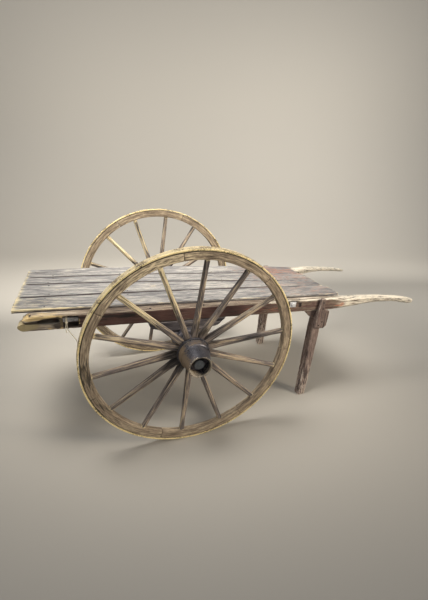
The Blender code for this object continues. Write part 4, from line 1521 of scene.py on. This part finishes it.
    @staticmethod
    def _stain(mesh: bpy.types.Mesh, grid: BoardGrid) -> None:
        """Marks where a board is bleached, painted and red.

        Args:
            mesh: the board.
            grid: its worn points.
        """
        x, y = grid.x.ravel(), grid.y.ravel()
        first = grid.index == 0
        last = grid.index == BOARD_COUNT - 1
        bleach = 0.10 + 0.22 * peak(x, -0.80, 0.25) * first + 0.10 * peak(x, -0.85, 0.18)
        store(mesh, "bleach", bleach)
        paint = 0.30 * eased(x, 0.25, 0.75) + 0.12 * eased(x, 0.45, 0.75) * last
        paint = paint + 0.14 * peak(x, 0.85, 0.22) * peak(y, 0.12, 0.09)
        store(mesh, "paint", paint)
        store(mesh, "rust_red", 0.34 * peak(x, 0.86, 0.18) * last)

    def nail_places(self) -> list[tuple[Vector, Vector]]:
        """Where nails hold the boards to the bearers.

        Returns:
            The place and the facing of each nail.
        """
        places = []
        for row, x in enumerate(self.bearers):
            for index in range(BOARD_COUNT):
                share = np.array([(x - self.tail) / (self.head - self.tail)])
                low = float(self.edge(index, share)[0])
                high = float(self.edge(index + 1, share)[0])
                for spot, part in enumerate(self.nail_parts):
                    shift = self.nail_shift * math.sin(5.1 * row + 2.3 * index + 3.7 * spot)
                    place = (x + shift, low + (high - low) * part, self.top - self.nail_sunk)
                    places.append(bed_nail(place))
        return places

    def build(self, copies: Copies) -> None:
        """Makes the boards and their nails.

        Args:
            copies: the groups that copy.
        """
        for index in range(BOARD_COUNT):
            name = f"board_{index + 1}"
            look = (Finish.BOARD, BED, "weathered_board")
            add_piece(name, self.board(index), *look, (f"deck_{name}",), self.sharp)
        heads = copies.drive(self.nail_places(), self.nail_radius, self.nail_height, Finish.NAIL)
        add_piece("deck_nails", heads, Finish.NAIL, BED, "plate_iron")


@dataclass(frozen=True)
class Mark:
    """A worn or stained place: its middle and its reach along x, y and z, and its strength."""

    place: Triple
    reach: Triple
    strength: float

    def at(self, places: np.ndarray) -> np.ndarray:
        """The mark's strength at places."""
        return self.strength * np.exp(-(((places - self.place) / self.reach) ** 2).sum(1))


@dataclass
class Rails:
    """The two long timbers, square under the deck and shaved down to handles in front."""

    voxel: float = 0.0042
    bare_tail: tuple[float, float] = (-0.75, -0.60)
    bare_head: tuple[float, float] = (1.05, 1.20)
    broken_above: float = 0.158
    broken_at: float = -0.881
    notch_above: float = 0.150
    notch_at: float = -0.866
    round_above: float = 0.134
    round_by: float = 0.024
    nose_at: float = -0.9085
    nail_rows: tuple = (-0.845, -0.47, -0.215, 0.11, 0.52, 0.79)
    nail_inset: float = 0.022
    nail_level: float = 0.1915
    tar_and_shade_marks: tuple = (
        # The first mark is painted shade in the bottom of the lashing recess.
        Mark((-0.66, -0.37, 0.125), (0.11, 0.03, 0.018), 1.0),
        Mark((-0.73, -0.38, 0.158), (0.07, 0.04, 0.012), 0.9),
        Mark((-0.765, -0.385, 0.166), (0.030, 0.03, 0.009), 0.8),
        Mark((-0.715, -0.385, 0.170), (0.020, 0.03, 0.012), 0.8),
        Mark((-0.711, -0.390, 0.150), (0.010, 0.03, 0.034), 0.9),
        Mark((-0.60, -0.37, 0.150), (0.03, 0.02, 0.045), 0.6),
        Mark((-0.80, -0.37, 0.157), (0.05, 0.05, 0.007), 1.5),
        Mark((-0.865, -0.37, 0.155), (0.04, 0.06, 0.005), 1.5),
        Mark((-0.42, -0.39, 0.165), (0.20, 0.02, 0.022), 0.75),
        Mark((-0.05, -0.38, 0.145), (0.22, 0.02, 0.020), 0.45),
        Mark((0.64, -0.37, 0.170), (0.05, 0.02, 0.014), 0.8),
        Mark((0.70, -0.37, 0.186), (0.02, 0.02, 0.010), 0.8),
        Mark((0.83, -0.37, 0.165), (0.02, 0.02, 0.010), 0.6),
    )
    moss_marks: tuple = (
        Mark((-0.885, -0.37, 0.135), (0.095, 0.08, 0.032), 1.2),
        Mark((-0.885, 0.37, 0.130), (0.095, 0.08, 0.024), 1.0),
    )
    raw_marks: tuple = (
        Mark((-0.84, -0.37, 0.178), (0.075, 0.05, 0.015), 1.0),
        Mark((-0.74, -0.37, 0.184), (0.060, 0.05, 0.008), 0.7),
        Mark((-0.752, -0.39, 0.118), (0.013, 0.03, 0.006), 0.8),
        Mark((-0.692, -0.37, 0.143), (0.007, 0.05, 0.026), 1.5),
        Mark((-0.605, -0.37, 0.143), (0.007, 0.05, 0.026), 1.3),
    )
    red_marks: tuple = (
        Mark((1.135, -0.36, 0.146), (0.026, 0.04, 0.026), 0.38),
        Mark((1.085, -0.36, 0.138), (0.040, 0.04, 0.012), 0.36),
        Mark((0.97, 0.36, 0.190), (0.120, 0.05, 0.020), 0.50),
        Mark((0.25, -0.38, 0.140), (0.300, 0.03, 0.030), 0.16),
        Mark((0.66, -0.38, 0.145), (0.240, 0.03, 0.030), 0.48),
        Mark((0.42, -0.38, 0.158), (0.100, 0.03, 0.014), 0.28),
        Mark((-0.727, -0.39, 0.162), (0.011, 0.04, 0.010), 1.1),
    )

    def split_tail(self, mesh: bpy.types.Mesh) -> None:
        """Breaks the near rail's tail off raggedly above its rounded nose.

        Args:
            mesh: the near rail.
        """
        places = stored(mesh, "grain")
        height = places[:, 2]
        ragged = 0.003 * np.sin(places[:, 1] * 430.0) + 0.002 * np.sin(height * 1500.0)
        broken = np.where(height > self.broken_above, self.broken_at, self.notch_at) + ragged
        share = np.clip((height - self.round_above) / (self.notch_above - self.round_above), 0.0, 1.0)
        nose = self.nose_at + self.round_by * share ** 2.0
        limit = np.where(height > self.notch_above, broken, nose)
        short = np.maximum(limit - places[:, 0], 0.0) * (share > 0.0)
        along = np.array(bed_matrix().to_3x3() @ Vector((1.0, 0.0, 0.0)))
        set_points(mesh, points_of(mesh) + short[:, None] * along)

    def rail(self, side: Side) -> bpy.types.Mesh:
        """One rail, weathered and marked.

        Args:
            side: which rail.

        Returns:
            Its mesh in the world's frame.
        """
        mesh = carved("rail_" + side.label, self.voxel)
        if side is Side.LEFT:
            self.split_tail(mesh)
        Weathering(depth=0.0016, along=0.16, across=0.018, seed=2.0 + side.value).apply(mesh)
        Weathering(depth=0.0014, along=0.05, across=0.008, seed=9.0 + side.value).apply(mesh)
        places = stored(mesh, "grain")
        turn = np.array(bed_matrix().to_3x3())
        facing = normals_of(mesh) @ turn
        up = np.clip(facing[:, 2], 0.0, 1.0)
        x = places[:, 0]
        square = eased(x, *self.bare_tail) * (1.0 - eased(x, *self.bare_head))
        handle = eased(x, *self.bare_head)
        low = np.clip(-facing[:, 2], 0.0, 1.0)
        worn = 0.22 * eased(x, 0.35, 0.62)
        store(mesh, "paint", square * (0.76 - 0.62 * up - worn) - 0.15 * low)
        tail = 1.0 - eased(x, *self.bare_tail)
        bleach = up * 0.12 + handle * 0.70 + tail * (0.10 + 0.22 * up) + square * worn * 1.9
        store(mesh, "bleach", bleach)
        kinds = {"tar": self.tar_and_shade_marks, "moss": self.moss_marks}
        kinds.update({"rust_red": self.red_marks, "raw": self.raw_marks})
        for name, marks in kinds.items():
            store(mesh, name, sum(mark.at(places) for mark in marks))
        return mesh

    def build(self, copies: Copies) -> None:
        """Makes both rails and the nails in the left one's top.

        Args:
            copies: the groups that copy.
        """
        for side in Side:
            name = "rail_" + side.label
            piece = "timber_" + side.label
            add_piece(piece, self.rail(side), Finish.RAIL, BED, "painted_rail", (name,), sharp=60.0)
        rows = [(x, self.nail_inset - rail_face(x), self.nail_level) for x in self.nail_rows]
        places = [bed_nail(place) for place in rows]
        heads = copies.drive(places, radius=0.0060, height=0.0022, finish=Finish.NAIL)
        add_piece("rail_nails", heads, Finish.NAIL, BED, "plate_iron")


@dataclass
class Underframe:
    """What carries the bed: bearers, saddles and the axle beam."""

    voxel: float = 0.005

    def timber(self, node: str, seed: float, turn: bool) -> bpy.types.Mesh:
        """One dark timber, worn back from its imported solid.

        Args:
            node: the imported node.
            seed: of its wear.
            turn: whether its grain runs across the cart.

        Returns:
            Its mesh.
        """
        mesh = carved(node, self.voxel, 2)
        if turn:
            store(mesh, "grain", stored(mesh, "grain")[:, (1, 0, 2)])
        Weathering(depth=0.0018, along=0.14, across=0.02, seed=seed).apply(mesh)
        return mesh

    def build(self) -> None:
        """Makes every timber under the bed."""
        crossing = ["cross_member_" + name for name in ("tail", "rear", "front", "head")] + ["axle_beam"]
        along = ["saddle_" + side.label for side in Side]
        for seed, node in enumerate(crossing + along):
            mesh = self.timber(node, seed * 3.1, node in crossing)
            add_piece("worn_" + node, mesh, Finish.DARK, BED, "dark_oak", (node,), sharp=60.0)


@dataclass
class Legs:
    """Two props under the head of the bed, each with a cleat outside the rail and a brace."""

    voxel: float = 0.0032
    tops: tuple = ((Side.LEFT, 0.967), (Side.RIGHT, 0.905))
    nail_spots: tuple = ((-0.002, 0.128), (-0.004, 0.172), (0.008, 0.030), (-0.014, 0.004))
    nail_out: float = 0.0215
    seed_step: float = 4.3

    # Parts: name, depth of wear, and whether the grain runs up
    parts: tuple = (("leg_", 0.0018, True), ("leg_cleat_", 0.0009, True), ("leg_brace_", 0.0009, False))

    def timber(self, node: str, seed: float, wear: float, upright: bool) -> bpy.types.Mesh:
        """One timber of a leg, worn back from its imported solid.

        Args:
            node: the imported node.
            seed: of its wear.
            wear: the depth of its wear.
            upright: whether its grain runs up.

        Returns:
            Its mesh.
        """
        mesh = carved(node, self.voxel, 2)
        places = stored(mesh, "grain")
        if upright:
            store(mesh, "grain", places[:, (2, 0, 1)])
        Weathering(depth=wear, along=0.10, across=0.014, seed=seed).apply(mesh)
        low = eased(-places[:, 2], 0.10, 0.42)
        far = eased(places[:, 1], -0.1, 0.1)
        crest = eased(places[:, 2], 0.19, 0.21)
        store(mesh, "bleach", 0.04 + low * 0.42 + 0.10 * crest + far * 0.15)
        store(mesh, "paint", 0.36 - 0.25 * low)
        # Painted shade on the brace and the tail side of each leg's top, under the rail.
        store(mesh, "tar", 0.30 * eased(places[:, 0], 0.945, 0.905) * (1.0 - low))
        return mesh

    def build(self, copies: Copies) -> None:
        """Makes both legs and the nails through their cleats.

        Args:
            copies: the groups that copy.
        """
        seed = 0.0
        nails = []
        for side, top_x in self.tops:
            for part, wear, upright in self.parts:
                node = part + side.label
                seed += self.seed_step
                mesh = self.timber(node, seed, wear, upright)
                add_piece("worn_" + node, mesh, Finish.LEG, BED, "leg_oak", (node,), sharp=60.0)
            out = rail_face(top_x) + self.nail_out
            for x, z in self.nail_spots:
                nails.append(bed_nail((top_x + x, side.value * out, z), (0.0, side.value, 0.0)))
        heads = copies.drive(nails, radius=0.0058, height=0.0022, finish=Finish.NAIL)
        add_piece("leg_nails", heads, Finish.NAIL, BED, "plate_iron")


@dataclass
class RailIrons:
    """The eye plate and the staple on the left rail, and the bars across the lashing recesses."""

    voxel: float = 0.0011
    bar_voxel: float = 0.0014

    def iron(self, node: str, seed: float, voxel: float) -> bpy.types.Mesh:
        """One iron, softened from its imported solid.

        Args:
            node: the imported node.
            seed: of its wear.
            voxel: size of its faces.

        Returns:
            Its mesh in the world's frame.
        """
        mesh = carved(node, voxel, 2)
        Weathering(depth=0.0003, along=0.01, across=0.01, seed=seed).apply(mesh)
        return mesh

    def build(self) -> None:
        """Makes the irons."""
        for node, finish in (("rail_eye_plate", Finish.PLATE), ("rail_staple", Finish.NAIL)):
            mesh = self.iron(node, len(node) * 0.7, self.voxel)
            add_piece("worn_" + node, mesh, finish, BED, "plate_iron", (node,), sharp=60.0)
        for side in Side:
            node = "lashing_bar_" + side.label
            mesh = self.iron(node, 3.3 * side.value, self.bar_voxel)
            add_piece("worn_" + node, mesh, Finish.BAR, BED, "plate_iron", (node,), sharp=60.0)


@dataclass
class Wheel:
    """One wheel: iron tyre, seven felloes, fourteen spokes, a wooden nave with its irons."""

    side: Side
    phase: float
    radius: float = 0.6198
    tyre_width: float = 0.042
    tyre_thickness: float = 0.010
    felloe_width: float = 0.044
    felloe_inner: float = 0.5585
    joint: float = 0.0014
    back: float = -0.145
    bore: float = 0.0226
    band_back: float = -0.056
    band_front: float = -0.002
    hoop_front: float = 0.0133
    spoke_root: float = 0.0800
    spoke_gap: float = 0.0002
    spoke_slack: float = 0.0010
    groove: tuple[float, float] = (0.0065, 0.0020)
    rivet_sunk: float = 0.0016
    nose_rivets: int = 4
    nose_rivet_turn: float = 0.35
    nose_rivet_spot: tuple[float, float] = (0.0790, 0.068)

    # Spoke stations: share of the length, width across the wheel, depth along the axle, corner
    spoke_stations: tuple = (
        (0.00, 0.0360, 0.0450, 0.0040),
        (0.10, 0.0362, 0.0440, 0.0065),
        (0.20, 0.0350, 0.0410, 0.0100),
        (0.55, 0.0325, 0.0350, 0.0120),
        (0.90, 0.0300, 0.0315, 0.0115),
        (1.00, 0.0296, 0.0310, 0.0080),
    )

    @property
    def matrix(self) -> Matrix:
        """The wheel's frame, with its first spoke along x."""
        return wheel_matrix(self.side, self.phase)

    def lathed(
        self, profile: Sequence[tuple[float, float]], steps: int, cone: float = 0.0
    ) -> bpy.types.Mesh:
        """Turns a profile about the axle, in the wheel's frame.

        Args:
            profile: distance along the arm and radius of each point.
            steps: parts of the turn.
            cone: how much the radius shrinks along the arm.

        Returns:
            The mesh.
        """
        rings = []
        for step in range(steps):
            angle = 2.0 * math.pi * step / steps
            rings.append([(r * math.cos(angle), r * math.sin(angle), z) for z, r in profile])
        rings = np.array(rings)
        if cone:
            rings[..., :2] *= 1.0 - cone * rings[..., 2:] / self.radius
        return ring_mesh(rings, looped=True)

    def _place(self, mesh: bpy.types.Mesh) -> bpy.types.Mesh:
        """Moves a mesh from the wheel's frame into the world's."""
        set_points(mesh, placed(points_of(mesh), self.matrix))
        return mesh

    def seen_from_outside(self, points: np.ndarray) -> tuple[np.ndarray, np.ndarray]:
        """Where points lie on the wheel as it is seen from outside, however it is turned.

        Args:
            points: in the world's frame.

        Returns:
            The points, with x the same way on both wheels, and their directions in degrees.
        """
        local = placed(points, wheel_matrix(self.side).inverted())
        local[:, 0] *= -self.side.value
        return local, np.degrees(np.arctan2(local[:, 1], local[:, 0])) % 360.0

    def rim_marks(self, mesh: bpy.types.Mesh) -> None:
        """Darkens the rim at some turns round the wheel and lightens it at others.

        Args:
            mesh: a part of the rim, in the world's frame.
        """
        local, turn = self.seen_from_outside(points_of(mesh))
        reach = np.hypot(local[:, 0], local[:, 1]) + local[:, 2] * math.tan(CAMBER)
        inner = self.radius - self.tyre_thickness
        groove = eased(reach, inner - self.groove[0], inner - self.groove[1])
        # Darker and paler shares by direction round the wheel.
        darker_by_turn = peak(turn, 195.0, 34.0) + 0.9 * peak(turn, 18.0, 26.0)
        darker_by_turn += 0.8 * peak(turn, 318.0, 30.0) + 0.5
        pale = peak(turn, 112.0, 46.0) + 0.45 * peak(turn, 262.0, 28.0)
        pale *= 1.0 if self.side is Side.LEFT else 0.55
        outer = eased(local[:, 2], -0.01, 0.015)
        store(mesh, "tar", darker_by_turn * 0.30 * outer * (1.0 - pale) + groove)
        store(mesh, "bleach", pale * 0.62 * (1.0 - groove))
        store(mesh, "dust", pale * 0.20)

    def tyre(self) -> bpy.types.Mesh:
        """The iron tyre: a coned band with rounded corners, dented by use.

        Returns:
            Its mesh in the world's frame.
        """
        middle = self.radius - self.tyre_thickness / 2.0
        outline = rounded_outline(self.tyre_width, self.tyre_thickness, 0.0022, 3, 3)
        profile = [(u, middle + v) for u, v in outline]
        mesh = self.lathed(profile, 336, math.tan(CAMBER))
        rim = eased(np.abs(points_of(mesh)[:, 2]), 0.013, 0.020)
        store(mesh, "edge", ridges(mesh) * 0.4 + rim * 0.78)
        Weathering(depth=0.0009, along=0.05, across=0.05, seed=4.0 + self.side.value).apply(mesh)
        self._place(mesh)
        self.rim_marks(mesh)
        return mesh

    def felloe(self) -> bpy.types.Mesh:
        """One curved block of the rim, which two spokes stand in.

        Returns:
            Its mesh in the wheel's frame.
        """
        outer = self.radius - self.tyre_thickness - 0.0005
        depth = outer - self.felloe_inner
        half_span = math.pi / FELLOE_COUNT - self.joint / 2.0 / outer
        outline = rounded_outline(depth - 0.0012, self.felloe_width, 0.0055, 4, 5)
        start = math.pi / SPOKE_COUNT
        rings, grain = [], []
        for share in np.concatenate(((0.0, 0.004), np.linspace(0.02, 0.98, 40), (0.996, 1.0))):
            angle = start + half_span * (2.0 * share - 1.0)
            inset = 0.0016 if share in (0.0, 1.0) else 0.0
            ring = []
            for u, v in outline:
                shrink_u = u * (1.0 - inset / depth * 2.0)
                shrink_v = v * (1.0 - inset / self.felloe_width * 2.0)
                radius = self.felloe_inner + depth / 2.0 + shrink_u
                radius -= max(shrink_u, 0.0) / depth * 2.0 * shrink_v * math.tan(CAMBER)
                ring.append((radius * math.cos(angle), radius * math.sin(angle), shrink_v))
                grain.append((angle * radius, u, v))
            rings.append(ring)
        mesh = ring_mesh(rings, grain)
        ends = len(outline) * 4
        edge = ridges(mesh)
        edge[:ends] = 0.0
        edge[-ends:] = 0.0
        store(mesh, "edge", edge)
        return mesh

    def spoke(self) -> bpy.types.Mesh:
        """One shaved spoke along x, from inside the nave to the felloes.

        Returns:
            Its mesh in the wheel's frame.
        """
        root, tip = self.spoke_root, self.felloe_inner - self.spoke_gap
        stations = np.array(self.spoke_stations)
        rings, grain = [], []
        for share in np.linspace(0.0, 1.0, 40):
            width, depth, corner = (np.interp(share, stations[:, 0], row) for row in stations.T[1:])
            x = root + (tip - root) * share
            z = -SPOKE_DISH * (1.0 - share)
            size = (width - self.spoke_slack, depth - self.spoke_slack)
            outline = rounded_outline(*size, corner, 3, 2)
            rings.append([(x, u, z + v) for u, v in outline])
            grain += [(x, u, v) for u, v in outline]
        return ring_mesh(rings, grain)

    def nave(self) -> bpy.types.Mesh:
        """The wooden nave that the spokes are driven into.

        Returns:
            Its mesh in the wheel's frame.
        """
        profile = (
            (self.back, self.bore), (self.back, 0.0722), (-0.1232, 0.0722), (-0.1222, 0.0752),
            (-0.100, 0.0832), (-0.0785, 0.0872), (self.band_back, 0.0872), (self.band_back, 0.0884),
            (-0.050, 0.0896), (-0.008, 0.0896), (self.band_front, 0.0884), (self.band_front, 0.0872),
            (self.hoop_front, 0.0872), (self.hoop_front, 0.0698), (0.0915, 0.0698), (0.0915, self.bore),
        )
        mesh = self.lathed(profile, 84)
        store(mesh, "grain", points_of(mesh)[:, (2, 0, 1)])
        store(mesh, "tar", np.full(len(mesh.vertices), 0.32))
        return mesh

    def ring(self, back: float, front: float, inner: float, outer: float) -> bpy.types.Mesh:
        """A forged hoop with eased corners.

        Args:
            back: where it starts along the arm.
            front: where it ends.
            inner: its inner radius.
            outer: its outer radius.

        Returns:
            Its mesh in the wheel's frame.
        """
        outline = rounded_outline(front - back, outer - inner, 0.0018, 3, 3)
        profile = [((back + front) / 2.0 + u, (inner + outer) / 2.0 + v) for u, v in outline]
        mesh = self.lathed(profile, 112)
        Weathering(depth=0.0007, along=0.04, across=0.04, seed=back * 90.0).apply(mesh)
        return mesh

    def nose(self) -> bpy.types.Mesh:
        """The iron sleeve on the nave's front, with its mouth and the rolled lip round it.

        Returns:
            Its mesh in the wheel's frame.
        """
        profile = (
            (0.0136, 0.0706), (0.0136, 0.0880), (0.0145, 0.0893), (0.0220, 0.0889), (0.0490, 0.0866),
            (0.0540, 0.0858), (0.0556, 0.0846), (0.0572, 0.0806), (0.0590, 0.0798), (0.0620, 0.0796),
            (0.0900, 0.0748), (0.1180, 0.0702), (0.1330, 0.0676), (0.1365, 0.0668), (0.1380, 0.0672),
            (0.1440, 0.0668), (0.1485, 0.0654), (0.1498, 0.0630), (0.1496, 0.0600), (0.1470, 0.0568),
            (0.1400, 0.0562), (0.0930, 0.0562), (0.0925, 0.0704),
        )
        mesh = self.lathed(profile, 128)
        places = points_of(mesh)
        turned, _ = self.seen_from_outside(placed(places, self.matrix))
        behind = eased(-places[:, 2], -0.060, -0.050)
        below = eased(-turned[:, 1] * 0.5 - turned[:, 0], 0.0, 0.07)
        store(mesh, "dust", 0.10 * behind + 0.40 * below - 0.02)
        lip = (np.hypot(places[:, 0], places[:, 1]) < 0.058) & (places[:, 2] > 0.12)
        step = (places[:, 2] > 0.050) & (places[:, 2] < 0.064)
        store(mesh, "edge", ridges(mesh) * (1.0 - 0.8 * step) + lip * 0.45)
        Weathering(depth=0.0006, along=0.03, across=0.03, seed=8.0).apply(mesh)
        return mesh

    def nut(self) -> bpy.types.Mesh:
        """The round nut on the arm's end, with a slot for its pin.

        Returns:
            Its mesh in the wheel's frame.
        """
        profile = (
            (0.0990, 0.0002), (0.0990, 0.0284), (0.1255, 0.0288), (0.1276, 0.0270), (0.1282, 0.0240),
            (0.1276, 0.0150), (0.1284, 0.0130), (0.1286, 0.0002),
        )
        return self.lathed(profile, 64)

    def _add(
        self,
        name: str,
        mesh: bpy.types.Mesh,
        finish: Finish,
        slot: str,
        node: str = "",
        sharp: float = 50.0,
    ) -> None:
        """Makes a mesh a piece that turns with this wheel.

        Args:
            name: the piece's name, without its side.
            mesh: its mesh, in the world's frame.
            finish: its finish.
            slot: the record's material slot.
            node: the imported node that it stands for, without its side.
            sharp: bend, in degrees, above which an edge stays sharp.
        """
        side = self.side.label
        nodes = (f"{node}_{side}",) if node else ()
        add_piece(f"{name}_{side}", mesh, finish, self.side.wheel, slot, nodes, sharp)

    def build(self, copies: Copies) -> None:
        """Makes the wheel's pieces.

        Args:
            copies: the groups that copy.
        """
        self._add("band", self.tyre(), Finish.TYRE, "tyre_iron", "tyre")
        rim = self._place(copies.round(self.felloe(), FELLOE_COUNT, Finish.WHEEL))
        Weathering(depth=0.0016, along=0.11, across=0.016, seed=1.0 + self.side.value).apply(rim)
        self.rim_marks(rim)
        self._add("rim", rim, Finish.WHEEL, "wheel_oak", "felloes")
        spokes = self._place(copies.round(self.spoke(), SPOKE_COUNT, Finish.SPOKE))
        Weathering(depth=0.0022, along=0.12, across=0.012, seed=6.0 + self.side.value).apply(spokes)
        self._mark_spokes(spokes)
        self._add("spokes", spokes, Finish.SPOKE, "wheel_oak", "spoked_nave")
        self._add("nave", self._place(self.nave()), Finish.DARK, "wheel_oak", sharp=35.0)
        self._add_irons()
        self._rivets(copies)

    def _add_irons(self) -> None:
        """Makes the nave's irons and the nut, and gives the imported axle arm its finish."""
        side = self.side.label
        irons = {
            "nave_nose": self.nose(),
            "nave_hoop_front": self.ring(self.band_front + 0.0003, self.hoop_front, 0.0878, 0.0954),
            "nave_hoop_back": self.ring(-0.0743, -0.0563, 0.0878, 0.0944),
            "nave_hoop_inner": self.ring(self.back, -0.1230, 0.0728, 0.0774),
        }
        for name, mesh in irons.items():
            self._add("forged_" + name, self._place(mesh), Finish.HUB, "hub_iron", name, sharp=45.0)
        nut = self._place(self.nut())
        node = "axle_nut_" + side
        add_piece("turned_nut_" + side, nut, Finish.DULL, BED, "hub_iron", (node,), sharp=35.0)
        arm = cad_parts["axle_arm_" + side]
        arm.data.materials.clear()
        arm.data.materials.append(Finish.HUB.material)

    def _mark_spokes(self, mesh: bpy.types.Mesh) -> None:
        """Marks where the spokes are darker, near the nave and at some turns round the wheel, where they
        are bare, and paints highlight on the lit spokes.

        Args:
            mesh: all spokes, in the world's frame.
        """
        local, turn = self.seen_from_outside(points_of(mesh))
        radius = np.hypot(local[:, 0], local[:, 1])
        # Painted highlight: the spokes on the lit side of the wheel, about 125 degrees round it, are made
        # pale.
        pale = peak(turn, 125.0, 30.0) * 0.58
        store(mesh, "bleach", pale * eased(radius, 0.15, 0.35) + 0.06 * eased(radius, 0.2, 0.5))
        dark = 0.42 * eased(-radius, -0.24, -0.12) + 0.34 * peak(turn, 215.0, 36.0)
        store(mesh, "tar", dark + 0.14 * peak(turn, 45.0, 35.0))

    def _rivets(self, copies: Copies) -> None:
        """The nails that hold the tyre to each felloe, and the nose's rivets.

        Args:
            copies: the groups that copy.
        """
        matrix = self.matrix
        turn = matrix.to_3x3()
        places = []
        for index in range(FELLOE_COUNT * 2):
            way = Vector(pointing((index + 0.5) * math.pi / FELLOE_COUNT))
            places.append((matrix @ (way * (self.radius - self.rivet_sunk)), turn @ way))
        reach, level = self.nose_rivet_spot
        for index in range(self.nose_rivets):
            way = Vector(pointing((index + self.nose_rivet_turn) * math.pi * 2.0 / self.nose_rivets))
            places.append((matrix @ (way * reach + Vector((0.0, 0.0, level))), turn @ way))
        heads = copies.drive(places, radius=0.0050, height=0.0014, finish=Finish.NAIL)
        self._add("wheel_rivets", heads, Finish.NAIL, "hub_iron", sharp=40.0)


def main() -> None:
    """Builds the cart, from the camera and the twine to the wheels."""
    logging.basicConfig(level=logging.INFO, format="%(name)s: %(message)s")
    studio = Studio()
    studio.place_camera()
    Twines().build()
    studio.lay_floor()
    studio.light()
    copies = Copies()
    Deck().build(copies)
    Rails().build(copies)
    Underframe().build()
    Legs().build(copies)
    RailIrons().build()
    Wheel(Side.LEFT, math.radians(5.07)).build(copies)
    Wheel(Side.RIGHT, math.radians(23.22)).build(copies)


if __name__ == "__main__":
    main()
